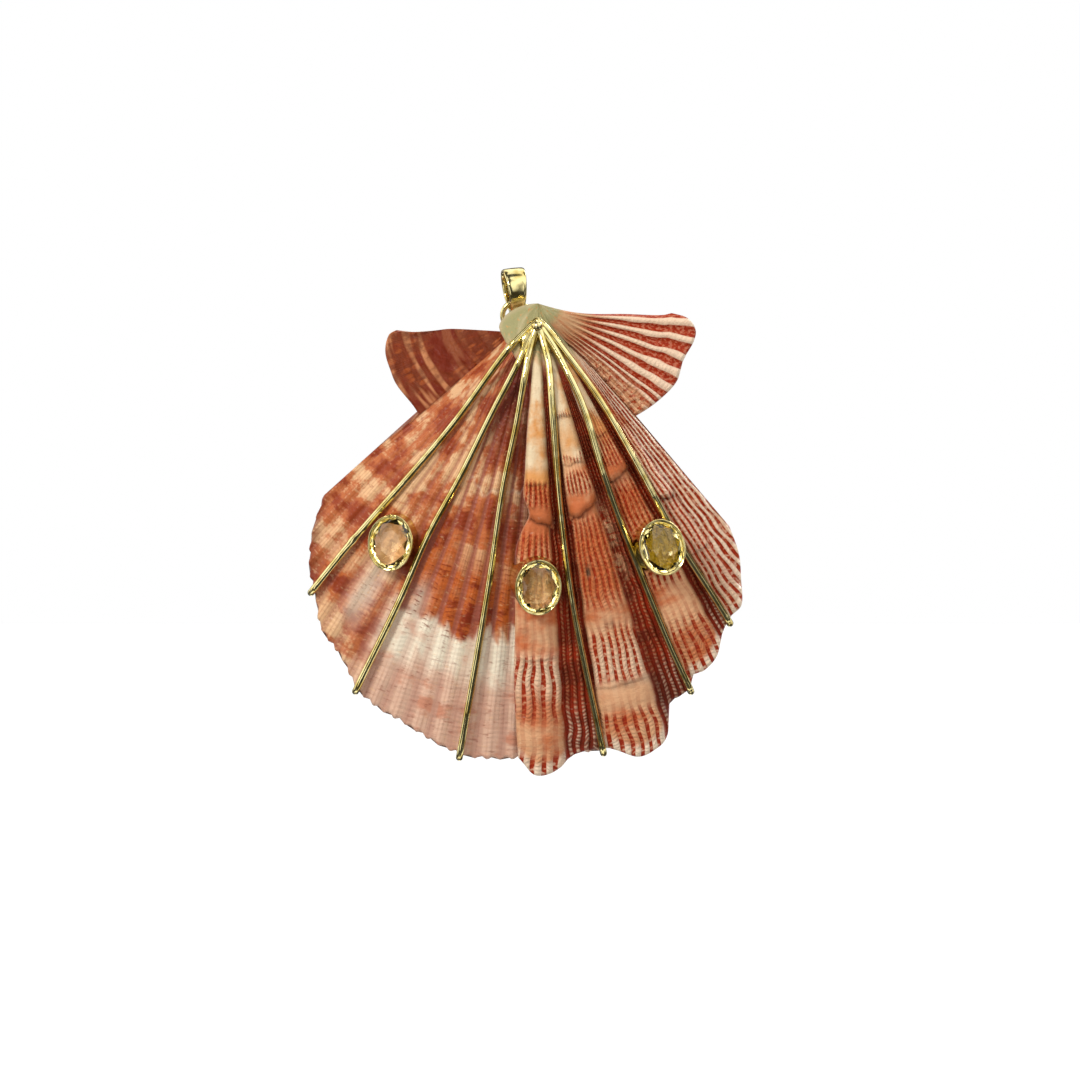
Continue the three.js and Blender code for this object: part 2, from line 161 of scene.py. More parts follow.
def mesh_object(name: str, points: Array, faces: list, smooth: bool = True) -> bpy.types.Object:
    """Makes a mesh object in the scene, with touching points merged and faces turned outward.

    Args:
        name: The piece's name.
        points: Its corners, in metres.
        faces: Corner numbers of each face.
        smooth: Whether the faces are shaded smooth.

    Returns:
        The new object.
    """
    mesh = bpy.data.meshes.new(name)
    mesh.from_pydata(points.reshape(-1, 3).tolist(), [], faces)
    obj = bpy.data.objects.new(name, mesh)
    bpy.context.collection.objects.link(obj)
    mesh.polygons.foreach_set("use_smooth", [smooth] * len(mesh.polygons))
    return obj


def close_up(obj: bpy.types.Object, merge: float = 1e-7) -> None:
    """Merges doubled corners and turns all faces outward."""
    work = bmesh.new()
    work.from_mesh(obj.data)
    bmesh.ops.remove_doubles(work, verts=work.verts, dist=merge)
    bmesh.ops.dissolve_degenerate(work, edges=work.edges, dist=merge)
    bmesh.ops.recalc_face_normals(work, faces=work.faces)
    work.to_mesh(obj.data)
    work.free()


def dress(obj: bpy.types.Object, material: bpy.types.Material, slot: str, body: str, *nodes: str) -> None:
    """Gives a piece its finish and ties it to the frame.

    Args:
        obj: The piece.
        material: Its finish.
        slot: The record's material slot; not used.
        body: The body it rides on.
        nodes: The CAD nodes it stands for.
    """
    obj.data.materials.clear()
    obj.data.materials.append(material)
    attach(obj, body)
    if nodes:
        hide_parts(*nodes)
    log.info("%s: %d faces on %s", obj.name, len(obj.data.polygons), body)


class Blend(Enum):
    """How one colour is laid over another."""

    OVER = "MIX"


class Graph:
    """A material's node graph, built from small steps."""

    def __init__(self, name: str) -> None:
        """Starts a material with one Principled surface."""
        self.material = bpy.data.materials.new(name)
        self.material.use_nodes = True
        self.tree = self.material.node_tree
        self.tree.nodes.clear()
        self.output = self.tree.nodes.new("ShaderNodeOutputMaterial")
        self.surface = self.tree.nodes.new("ShaderNodeBsdfPrincipled")
        self.tree.links.new(self.surface.outputs[0], self.output.inputs["Surface"])

    def fill(self, target: Socket, value: object) -> None:
        """Links a socket into a target, or sets the target's own value."""
        if isinstance(value, bpy.types.NodeSocket):
            self.tree.links.new(value, target)
        elif isinstance(value, tuple) and len(value) == 3 and target.type == "RGBA":
            target.default_value = (*value, 1.0)
        else:
            target.default_value = value

    def attribute(self, name: str) -> Socket:
        """Reads a number stored on the mesh's corners."""
        node = self.tree.nodes.new("ShaderNodeAttribute")
        node.attribute_name = name
        return node.outputs["Fac"]

    def math(self, kind: str, a: object, b: object = 0.0, clamp: bool = False) -> Socket:
        """Works out one sum of two values."""
        node = self.tree.nodes.new("ShaderNodeMath")
        node.operation = kind
        node.use_clamp = clamp
        self.fill(node.inputs[0], a)
        self.fill(node.inputs[1], b)
        return node.outputs[0]

    def spread(self, value: object, low: float, high: float, to_low: float = 0, to_high: float = 1) -> Socket:
        """Maps a range smoothly onto another, held level past its ends."""
        node = self.tree.nodes.new("ShaderNodeMapRange")
        node.interpolation_type = "SMOOTHSTEP"
        for i, v in enumerate((value, low, high, to_low, to_high)):
            self.fill(node.inputs[i], v)
        return node.outputs[0]

    def mix(self, share: object, a: object, b: object, how: Blend = Blend.OVER) -> Socket:
        """Lays colour b over colour a by a share."""
        node = self.tree.nodes.new("ShaderNodeMix")
        node.data_type = "RGBA"
        node.blend_type = how.value
        self.fill(node.inputs[0], share)
        self.fill(node.inputs[6], a)
        self.fill(node.inputs[7], b)
        return node.outputs[2]

    def wave(self, phase: Socket) -> Socket:
        """Rises from 0 to 1 and back once for each whole number of the phase."""
        turned = self.math("COSINE", self.math("MULTIPLY", phase, 2 * math.pi))
        return self.math("MULTIPLY", self.math("SUBTRACT", 1.0, turned), 0.5)

    def all_of(self, *values: object) -> Socket:
        """Multiplies several masks."""
        total = values[0]
        for value in values[1:]:
            total = self.math("MULTIPLY", total, value)
        return total

    def across(self, over: float, along: float) -> Socket:
        """The shell's own coordinates, angle and distance from the beak, with their scales."""
        uv = self.tree.nodes.new("ShaderNodeUVMap")
        uv.uv_map = "OFBake"
        scale = self.tree.nodes.new("ShaderNodeMapping")
        scale.inputs["Scale"].default_value = (over, along, 1)
        self.tree.links.new(uv.outputs[0], scale.inputs[0])
        return scale.outputs[0]

    def vector(self, x: Socket, y: Socket) -> Socket:
        """Joins two values into a place for a texture."""
        node = self.tree.nodes.new("ShaderNodeCombineXYZ")
        self.fill(node.inputs[0], x)
        self.fill(node.inputs[1], y)
        return node.outputs[0]

    def place(self) -> Socket:
        """The piece's own coordinates in metres."""
        return self.tree.nodes.new("ShaderNodeTexCoord").outputs["Object"]

    def noise(self, at: Socket, scale: float, detail: float = 3, rough: float = 0.55) -> Socket:
        """Cloudy unevenness around one half."""
        node = self.tree.nodes.new("ShaderNodeTexNoise")
        self.fill(node.inputs["Vector"], at)
        self.fill(node.inputs["Scale"], scale)
        self.fill(node.inputs["Detail"], detail)
        self.fill(node.inputs["Roughness"], rough)
        return node.outputs[0]

    def cells(self, at: Socket, scale: float) -> Socket:
        """Distance to the nearest of many scattered spots."""
        node = self.tree.nodes.new("ShaderNodeTexVoronoi")
        self.fill(node.inputs["Vector"], at)
        self.fill(node.inputs["Scale"], scale)
        return node.outputs["Distance"]

    def bump(self, height: Socket, depth: float, under: Socket | None = None) -> Socket:
        """Turns a height into a surface normal; depth is in metres."""
        node = self.tree.nodes.new("ShaderNodeBump")
        node.inputs["Distance"].default_value = depth
        self.fill(node.inputs["Height"], height)
        if under is not None:
            self.fill(node.inputs["Normal"], under)
        return node.outputs[0]

    def finish(self, **sockets: object) -> bpy.types.Material:
        """Fills the Principled surface's sockets, named with underscores, and gives the material."""
        for name, value in sockets.items():
            self.fill(self.surface.inputs[name.replace("_", " ")], value)
        return self.material


@dataclass(frozen=True)
class GoldFinish:
    """Polished yellow gold with fine drawing lines and a few dull patches."""

    colour: Colour = srgb(226, 211, 150)
    deep: Colour = srgb(196, 172, 96)
    roughness: float = 0.13

    def material(self, name: str) -> bpy.types.Material:
        """Builds the node material."""
        graph = Graph(name)
        at = graph.place()
        cloudy = graph.noise(at, 420, 2)
        fine = graph.noise(at, 2600, 2)
        colour = graph.mix(graph.spread(cloudy, 0.4, 0.7), self.colour, self.deep)
        rough = graph.spread(fine, 0.3, 0.8, self.roughness - 0.02, self.roughness + 0.06)
        normal = graph.bump(cloudy, 0.000015)
        return graph.finish(Base_Color=colour, Metallic=1.0, Roughness=rough, Normal=normal)


@dataclass(frozen=True)
class CitrineFinish:
    """Clear pale yellow quartz."""

    tint: Colour = (1.0, 0.985, 0.86)
    body: Colour = (0.93, 0.84, 0.42)
    density: float = 170.0
    ior: float = 1.55

    def material(self, name: str) -> bpy.types.Material:
        """Builds the clear material with its absorption."""
        graph = Graph(name)
        absorb = graph.tree.nodes.new("ShaderNodeVolumeAbsorption")
        absorb.inputs["Color"].default_value = (*self.body, 1.0)
        absorb.inputs["Density"].default_value = self.density
        graph.tree.links.new(absorb.outputs[0], graph.output.inputs["Volume"])
        return graph.finish(
            Base_Color=self.tint, Roughness=0.0, IOR=self.ior, Transmission_Weight=1.0,
        )


@dataclass(frozen=True)
class InsideFinish:
    """The smooth porcelain inside of a valve and its chalky broken edge."""

    pale: Colour = srgb(226, 212, 192)
    warm: Colour = srgb(206, 158, 130)
    rim: Colour = srgb(158, 74, 48)

    def colour(self, graph: Graph) -> Socket:
        """The inside's colour, warmer towards the rim, with faint growth lines."""
        clouds = graph.noise(graph.across(5, 9), 1, 3)
        lines = graph.noise(graph.across(0.6, 60), 1, 2)
        tone = graph.mix(graph.spread(clouds, 0.4, 0.7), self.pale, self.warm)
        tone = graph.mix(graph.spread(lines, 0.5, 0.75, 0, 0.25), tone, self.warm)
        near_rim = graph.spread(graph.attribute("share"), 0.78, 0.99)
        return graph.mix(graph.math("MULTIPLY", near_rim, graph.spread(clouds, 0.3, 0.6)), tone, self.rim)


@dataclass(frozen=True)
class StoneShadeFinish:
    """Painted shade on the shell under each stone, which shows through it, gold-tinted under some stones."""

    # Colours of the painted shade under the stones: plain, and gold-tinted.
    shade_tone: Colour = srgb(158, 124, 98)
    gilt: Colour = srgb(178, 160, 44)
    share: float = 0.8

    def over(self, graph: Graph, tone: Socket) -> Socket:
        """Lays the painted shade under the stones over a shell's colour."""
        bed = graph.mix(graph.attribute("gilt"), self.shade_tone, self.gilt)
        return graph.mix(graph.math("MULTIPLY", graph.attribute("bed"), self.share), tone, bed)


@dataclass(frozen=True)
class RibbedFinish:
    """Coral valve: salmon ribs with cream cords, brick grooves and maroon valleys."""

    salmon: Colour = srgb(190, 104, 60)
    cream: Colour = srgb(212, 160, 118)
    brick: Colour = srgb(146, 38, 10)
    groove: Colour = srgb(168, 66, 30)
    maroon: Colour = srgb(104, 32, 12)
    bead: Colour = srgb(176, 112, 76)
    flame: Colour = srgb(204, 92, 6)
    white: Colour = srgb(226, 200, 172)
    bare: Colour = srgb(216, 194, 158)
    tan: Colour = srgb(204, 140, 78)
    chalk: Colour = srgb(150, 143, 98)
    stain: Colour = srgb(96, 76, 58)
    # Painted shade colour for the hollow under each scale lip.
    crack: Colour = srgb(62, 20, 12)
    inside: InsideFinish = field(default_factory=InsideFinish)
    bed: StoneShadeFinish = field(default_factory=StoneShadeFinish)

    def material(self, name: str) -> bpy.types.Material:
        """Builds the node material from the marks stored on the mesh."""
        graph = Graph(name)
        cord = graph.wave(graph.attribute("phase"))
        scale = graph.wave(graph.attribute("ring"))
        dash = graph.noise(graph.across(90, 130), 1, 2)
        clouds = graph.noise(graph.across(11, 17), 1, 4)
        grain = graph.noise(graph.place(), 1300, 3)
        speck = graph.noise(graph.across(60, 110), 1, 4, 0.65)
        tone = self.ribs(graph, cord, dash, clouds)
        tone = graph.mix(graph.attribute("crest"), self.valleys(graph, cord, scale, clouds, speck), tone)
        tone = graph.mix(graph.attribute("crust"), tone, self.crust(graph, speck, dash))
        tone = graph.mix(graph.math("MULTIPLY", graph.attribute("scar"), 0.85), tone, self.stain)
        tone = graph.mix(graph.spread(speck, 0.6, 0.74, 0, 0.5), tone, self.groove)
        tone = graph.mix(graph.spread(speck, 0.38, 0.26, 0, 0.22), tone, self.white)
        # Painted shade: dark lines in the hollow under each rib's scale lip and growth steps.
        tone = graph.mix(graph.attribute("crack"), tone, self.crack)
        chalky = graph.mix(graph.spread(clouds, 0.5, 0.7, 0, 0.4), self.chalk, self.bare)
        spots = graph.noise(graph.across(22, 75), 1, 3)
        chalky = graph.mix(graph.spread(spots, 0.58, 0.66, 0, 0.7), chalky, self.tan)
        chalky = graph.mix(graph.spread(spots, 0.64, 0.7, 0, 0.7), chalky, self.groove)
        tone = graph.mix(graph.attribute("chalk"), tone, chalky)
        inside = graph.attribute("inside")
        # The painted shade under the stones goes over the outside's colour here.
        tone = graph.mix(inside, self.bed.over(graph, tone), self.inside.colour(graph))
        outside = graph.spread(inside, 0, 1, 1, 0.12)
        lines = graph.noise(graph.across(20, 480), 1, 2)
        notch = graph.math("ADD", graph.math("MULTIPLY", graph.attribute("ear"), 0.35), 0.55)
        depth = graph.all_of(graph.attribute("grooved"), cord, graph.spread(scale, 0, 1, notch, 1))
        relief = graph.math("ADD", graph.math("MULTIPLY", depth, 0.9), graph.math("MULTIPLY", grain, 0.5))
        relief = graph.math("ADD", relief, graph.math("MULTIPLY", lines, 0.14))
        relief = graph.math("ADD", relief, graph.math("MULTIPLY", speck, 0.5))
        normal = graph.bump(graph.math("MULTIPLY", relief, outside), 0.00032)
        rough = graph.spread(grain, 0.3, 0.7, 0.34, 0.58)
        return graph.finish(Base_Color=tone, Roughness=rough, Normal=normal, Specular_IOR_Level=0.14)

    def ribs(self, graph: Graph, cord: Socket, dash: Socket, clouds: Socket) -> Socket:
        """The ribs' colour: smooth cream and tan when young, then cords over broken brick grooves."""
        tone = graph.mix(graph.spread(clouds, 0.42, 0.68), self.cream, self.salmon)
        tone = graph.mix(graph.attribute("blush"), tone, self.salmon)
        tone = graph.mix(graph.attribute("bleach"), tone, self.white)
        young = graph.mix(graph.spread(clouds, 0.42, 0.7), self.bare, self.tan)
        tone = graph.mix(graph.attribute("bare"), tone, young)
        tone = graph.mix(graph.attribute("tanned"), tone, self.tan)
        glow = graph.mix(graph.spread(dash, 0.5, 0.85), self.flame, self.salmon)
        tone = graph.mix(graph.attribute("flame"), tone, glow)
        lines = graph.mix(graph.spread(dash, 0.4, 0.58), self.brick, self.groove)
        broken = graph.spread(dash, 0.68, 0.5, 0.35, 1)
        broken = graph.math("MAXIMUM", broken, graph.math("MULTIPLY", graph.attribute("ear"), 0.85))
        wide = graph.math("ADD", graph.math("MULTIPLY", graph.attribute("ear"), 0.2), 0.5)
        narrow = graph.math("SUBTRACT", wide, 0.22)
        cut = graph.all_of(graph.spread(cord, wide, narrow), graph.attribute("grooved"), broken)
        return graph.mix(cut, tone, lines)

    def valleys(self, graph: Graph, cord: Socket, scale: Socket, clouds: Socket, speck: Socket) -> Socket:
        """The valleys' colour: maroon with beaded cords, paler towards the rim."""
        dark = graph.mix(graph.spread(clouds, 0.35, 0.65), self.maroon, self.brick)
        beads = graph.all_of(
            graph.spread(cord, 0.35, 0.8), graph.spread(scale, 0.3, 0.8, 0.25, 1),
            graph.spread(clouds, 0.32, 0.66, 0.25, 0.95),
        )
        tone = graph.mix(beads, dark, self.bead)
        pale = graph.math("MULTIPLY", graph.spread(graph.attribute("share"), 0.86, 0.97), beads)
        return graph.mix(pale, tone, self.white)

    def crust(self, graph: Graph, speck: Socket, dash: Socket) -> Socket:
        """The crumbly cream and grey growth beside the ear's seam and one rib."""
        tone = graph.mix(graph.spread(speck, 0.4, 0.5), self.groove, self.cream)
        return graph.mix(graph.spread(dash, 0.6, 0.74, 0, 0.8), tone, self.stain)


@dataclass(frozen=True)
class MottledFinish:
    """Brick and cream mottled valve with mauve lines between low ribs."""

    brick: Colour = srgb(142, 58, 26)
    salmon: Colour = srgb(180, 100, 56)
    cream: Colour = srgb(220, 174, 128)
    mauve: Colour = srgb(150, 82, 64)
    maroon: Colour = srgb(104, 36, 20)
    orange: Colour = srgb(182, 90, 36)
    rust: Colour = srgb(126, 42, 14)
    white: Colour = srgb(232, 218, 192)
    pink: Colour = srgb(214, 174, 148)
    blush: Colour = srgb(196, 134, 106)
    rose: Colour = srgb(190, 144, 122)
    inside: InsideFinish = field(default_factory=InsideFinish)
    bed: StoneShadeFinish = field(default_factory=StoneShadeFinish)

    def material(self, name: str) -> bpy.types.Material:
        """Builds the node material from the marks stored on the mesh."""
        graph = Graph(name)
        phase, far = graph.attribute("phase"), graph.attribute("far")
        gap = graph.wave(phase)
        ring = graph.wave(graph.attribute("ring"))
        clouds = graph.noise(graph.across(10, 12), 1, 5, 0.6)
        speck = graph.noise(graph.across(60, 120), 1, 4, 0.6)
        grain = graph.noise(graph.place(), 1400, 3)
        patch = self.patches(graph, phase, far, clouds)
        tone = self.bands(graph, patch)
        dashes = graph.all_of(
            graph.spread(ring, 0.72, 0.95), graph.spread(speck, 0.5, 0.56), graph.attribute("orange"),
            graph.spread(gap, 0.75, 0.4),
        )
        tone = graph.mix(graph.math("MULTIPLY", dashes, 0.7), tone, self.rust)
        pale = graph.math("MAXIMUM", graph.attribute("white"), graph.attribute("pink"))
        mauve = graph.mix(pale, self.mauve, self.rose)
        faint = graph.spread(graph.attribute("white"), 0, 1, 1, 0.5)
        lines = graph.all_of(graph.spread(gap, 0.6, 0.9), graph.attribute("lines"), faint)
        tone = graph.mix(graph.math("MULTIPLY", lines, 0.8), tone, mauve)
        fine = graph.wave(graph.math("MULTIPLY", phase, 5.0))
        fine = graph.all_of(graph.spread(fine, 0.5, 0.9), graph.spread(clouds, 0.35, 0.6), 0.2)
        tone = graph.mix(fine, tone, self.rust)
        dark = graph.math("MULTIPLY", graph.attribute("maroon"), graph.spread(clouds, 0.3, 0.55, 0.7, 1))
        tone = graph.mix(dark, tone, self.maroon)
        tone = graph.mix(graph.spread(speck, 0.56, 0.7, 0, 0.45), tone, self.rust)
        tone = graph.mix(graph.spread(speck, 0.42, 0.3, 0, 0.35), tone, self.cream)
        rows = graph.wave(graph.math("ADD", graph.math("MULTIPLY", phase, 2.0), 0.5))
        dots = graph.all_of(
            graph.spread(rows, 0.86, 0.98), graph.spread(ring, 0.55, 0.85), graph.attribute("dots"))
        tone = graph.mix(graph.all_of(dots, graph.spread(clouds, 0.4, 0.6), 0.55), tone, self.cream)
        tone = graph.mix(graph.attribute("ear"), tone, self.ear(graph, clouds))
        tone = graph.mix(graph.math("MULTIPLY", graph.attribute("crack"), 0.22), tone, self.white)
        inside = graph.attribute("inside")
        # The painted shade under the stones goes over the outside's colour here.
        tone = graph.mix(inside, self.bed.over(graph, tone), self.inside.colour(graph))
        growth = graph.noise(graph.across(14, 520), 1, 2)
        relief = graph.math("ADD", graph.math("MULTIPLY", growth, 0.4), graph.math("MULTIPLY", grain, 0.3))
        relief = graph.math("ADD", relief, graph.math("MULTIPLY", fine, -1.2))
        relief = graph.math("ADD", relief, graph.math("MULTIPLY", ring, 0.25))
        relief = graph.math("MULTIPLY", relief, graph.spread(inside, 0, 1, 1, 0.15))
        rough = graph.spread(grain, 0.3, 0.7, 0.26, 0.46)
        return graph.finish(
            Base_Color=tone, Roughness=rough, Normal=graph.bump(relief, 0.00016), Specular_IOR_Level=0.2,
        )

    def patches(self, graph: Graph, phase: Socket, far: Socket, clouds: Socket) -> Socket:
        """Blocks of tone along each rib, partly shared by its neighbours."""
        index = graph.math("MULTIPLY", graph.math("ROUND", phase), 5.37)
        strip = graph.noise(graph.vector(index, graph.math("MULTIPLY", far, 0.17)), 1, 3)
        shared = graph.math("MULTIPLY", clouds, 0.74)
        return graph.math("ADD", graph.math("MULTIPLY", strip, 0.26), shared)

    def bands(self, graph: Graph, patch: Socket) -> Socket:
        """Brick, salmon and cream blocks, with the rusty, white and pink zones over them."""
        tone = graph.mix(graph.spread(patch, 0.425, 0.49), self.brick, self.salmon)
        tone = graph.mix(graph.spread(patch, 0.5, 0.57), tone, self.cream)
        orange = graph.mix(graph.spread(patch, 0.42, 0.49), self.rust, self.orange)
        orange = graph.mix(graph.spread(patch, 0.51, 0.58), orange, self.salmon)
        tone = graph.mix(graph.attribute("orange"), tone, orange)
        pale = graph.mix(graph.spread(patch, 0.36, 0.47), self.pink, self.white)
        tone = graph.mix(graph.attribute("white"), tone, pale)
        edge = graph.mix(graph.spread(patch, 0.42, 0.5), self.blush, self.pink)
        return graph.mix(graph.attribute("pink"), tone, edge)

    def ear(self, graph: Graph, clouds: Socket) -> Socket:
        """Brick red with curved beige bands and dark blotches by the hinge."""
        bands = graph.noise(graph.across(2.4, 38), 1, 2)
        tone = graph.mix(graph.spread(clouds, 0.4, 0.66), srgb(112, 34, 10), srgb(164, 82, 38))
        banded = graph.math("MULTIPLY", graph.spread(bands, 0.48, 0.6), graph.attribute("outer"))
        tone = graph.mix(banded, tone, srgb(190, 124, 80))
        blotch = graph.spread(graph.cells(graph.across(40, 40), 1), 0.28, 0.5)
        blotch = graph.math("MULTIPLY", blotch, graph.spread(clouds, 0.42, 0.6))
        return graph.mix(graph.math("MULTIPLY", blotch, 0.7), tone, srgb(92, 30, 16))


@dataclass
class Valve:
    """A half shell, laid out by angle from straight down and distance from the beak."""

    name: str
    node: str
    edge_round: float = 0.55
    back_every: int = 4

    def rim(self, angle: Array) -> Array:
        """Distance from the beak to the rim."""
        raise NotImplementedError

    def start(self, angle: Array) -> Array:
        """Distance from the beak at which the shell begins."""
        return np.zeros_like(angle)

    def turned(self, angle: Array, r: Array) -> Array:
        """The true angle of a point on a column, after its edge's bends."""
        raise NotImplementedError

    def lift(self, angle: Array, r: Array) -> Array:
        """The smooth front's height above the rims' plane."""
        raise NotImplementedError

    def relief(self, angle: Array, r: Array) -> Array:
        """The fine height that cords, scales and growth lines add."""
        raise NotImplementedError

    def thickness(self, angle: Array, r: Array) -> Array:
        """Distance from front to back, along the view."""
        raise NotImplementedError

    def marks(self, angle: Array, r: Array) -> dict[str, Array]:
        """Masks from 0 to 1 that the finish reads, by name."""
        raise NotImplementedError

    def columns(self) -> Array:
        """The columns' angles, in order."""
        raise NotImplementedError

    def rows(self) -> Array:
        """The rows' shares of the way from start to rim."""
        raise NotImplementedError

    def front_view(self, angle: Array, r: Array) -> tuple[Array, Array]:
        """X and Z of a point in millimetres."""
        turned = np.radians(self.turned(angle, r))
        return BEAK_X + r * np.sin(turned), BEAK_Z - r * np.cos(turned)

    def invert(self, x: Array, z: Array) -> tuple[Array, Array, Array]:
        """Finds the column and distance of points in front view.

        Args:
            x: Millimetres to the right.
            z: Millimetres up.

        Returns:
            The angles, the distances, and whether each point is on the valve.
        """
        r = np.hypot(x - BEAK_X, z - BEAK_Z)
        wanted = np.degrees(np.arctan2(x - BEAK_X, BEAK_Z - z))
        columns = self.columns()
        low = np.full_like(r, columns.min())
        high = np.full_like(r, columns.max())
        on = (wanted >= self.turned(low, r)) & (wanted <= self.turned(high, r))
        for _ in range(20):
            middle = (low + high) / 2
            under = self.turned(middle, r) < wanted
            low = np.where(under, middle, low)
            high = np.where(under, high, middle)
        return low, r, on & (r <= self.rim(low)) & (r >= self.start(low))

    def build(self) -> bpy.types.Object:
        """Makes the closed shell, fine in front and coarser behind, with its marks.

        Returns:
            The shell object.
        """
        angles, shares = self.columns(), self.rows()
        front = self.surface(angles, shares, back=False)
        every = self.back_every
        back = self.surface(angles[::every], shares[::every], back=True)
        points = np.concatenate([front[0].reshape(-1, 3), back[0].reshape(-1, 3)])
        faces = grid_faces(len(shares), len(angles), 0, False)
        offset = len(shares) * len(angles)
        shape = (len(shares[::every]), len(angles[::every]))
        faces += grid_faces(*shape, offset, True)
        faces += stitch(border(len(shares), len(angles), 0), border(*shape, offset), every)
        obj = mesh_object(self.name, points, faces)
        for name, values in front[1].items():
            joined = np.concatenate([values.ravel(), back[1][name].ravel()])
            store = obj.data.attributes.new(name, "FLOAT", "POINT")
            store.data.foreach_set("value", joined.astype(np.float32))
        uv = np.concatenate([front[2].reshape(-1, 2), back[2].reshape(-1, 2)])
        layer = obj.data.uv_layers.new(name="OFBake")
        corners = np.empty(len(obj.data.loops), dtype=int)
        obj.data.loops.foreach_get("vertex_index", corners)
        layer.data.foreach_set("uv", uv[corners].astype(np.float32).ravel())
        close_up(obj)
        return obj

    def surface(self, angles: Array, shares: Array, back: bool) -> tuple[Array, dict[str, Array], Array]:
        """Works out one face of the shell.

        Args:
            angles: Column angles.
            shares: Row shares.
            back: Whether it is the inside.

        Returns:
            Points in metres, marks by name, and bake coordinates.
        """
        angle, share = np.meshgrid(angles, shares)
        start = self.start(angle)
        r = start + (self.rim(angle) - start) * share
        x, z = self.front_view(angle, r)
        lift = self.lift(angle, r)
        thick = self.thickness(angle, r)
        edge = np.clip(1 - self.edge_distance(angle, r) / self.edge_round, 0, 1)
        roll = (1 - np.sqrt(1 - np.minimum(edge, 0.999) ** 2)) * thick * 0.42
        lift = lift - thick + roll if back else lift + self.relief(angle, r) * (1 - edge) - roll
        marks = self.marks(angle, r)
        marks["inside"] = np.ones_like(r) if back else 0.2 * self.cut_edge(angle, r)
        marks["share"] = r / self.rim(angle)
        # Painted shade on the front under each stone: an oval patch round its middle, gold-tinted by the
        # setting's last number.
        stone_shades = [step(np.hypot((x - s[0]) / 4.1, (z - s[1]) / 5.0), 1.0, 0.85) for s in SETTINGS]
        marks["bed"] = sum(stone_shades) * (not back)
        marks["gilt"] = sum(bed * s[5] for bed, s in zip(stone_shades, SETTINGS)) * (not back)
        uv = np.stack([(angle - angles.min()) / 100, r / 100], axis=-1)
        if back:
            uv[..., 0] = -uv[..., 0] - 0.02
        return place(x, z, lift), marks, uv + np.array([1.0, 0.0])

    def edge_distance(self, angle: Array, r: Array) -> Array:
        """Millimetres to the nearest edge of the valve."""
        columns = self.columns()
        to_rim = self.rim(angle) - r
        sides = np.minimum(angle - columns.min(), columns.max() - angle)
        return np.minimum(to_rim, np.radians(sides) * np.maximum(r, 1.5))

    def cut_edge(self, angle: Array, r: Array) -> Array:
        """1 along the sawn or broken edge, where the chalky layers show."""
        return np.zeros_like(r)


def grid_faces(rows: int, columns: int, offset: int, flip: bool) -> list[tuple[int, ...]]:
    """Quads over a grid of corners, numbered row by row from an offset."""
    i, j = np.meshgrid(np.arange(rows - 1), np.arange(columns - 1), indexing="ij")
    a = (offset + i * columns + j).ravel()
    quads = np.stack([a, a + 1, a + columns + 1, a + columns], axis=1)
    return [tuple(q) for q in (quads[:, ::-1] if flip else quads).tolist()]


def border(rows: int, columns: int, offset: int) -> list[int]:
    """The corner numbers round a grid, in order, starting at its first corner."""
    top = list(range(columns))
    right = [i * columns + columns - 1 for i in range(1, rows)]
    bottom = [(rows - 1) * columns + j for j in range(columns - 2, -1, -1)]
    left = [i * columns for i in range(rows - 2, 0, -1)]
    return [offset + k for k in top + right + bottom + left]


def stitch(fine: list[int], coarse: list[int], every: int) -> list[tuple[int, ...]]:
    """Joins a fine border to one with every nth corner, by fans of triangles."""
    faces = []
    for k, near in enumerate(coarse):
        far = coarse[(k + 1) % len(coarse)]
        ring = [fine[(k * every + n) % len(fine)] for n in range(every + 1)]
        half = every // 2
        for n in range(every):
            faces.append((ring[n + 1], ring[n], near if n < half else far))
        faces.append((ring[half], near, far))
    return faces


def padded_count(spans: int, every: int) -> int:
    """A number of grid lines that a coarser grid also ends on."""
    return (spans // every) * every + 1


@dataclass(frozen=True)
class Rib:
    """A strong rib of the coral valve, in degrees and millimetres from the beak."""

    at: float
    half: float
    high: float
    node: float = 0.0
    slant: float = 0.0
    steps: tuple[float, ...] = ()
    swells: tuple[tuple[float, float], ...] = ()
    grooves: tuple[tuple[float, float], ...] = ((10, 1), (90, 1))
    flames: tuple[tuple[float, float], ...] = ()
    blushes: tuple[tuple[float, float], ...] = ()


@dataclass(frozen=True)
class Band:
    """A stretch of columns that carries a number of fine cords."""

    start: float
    end: float
    cords: int


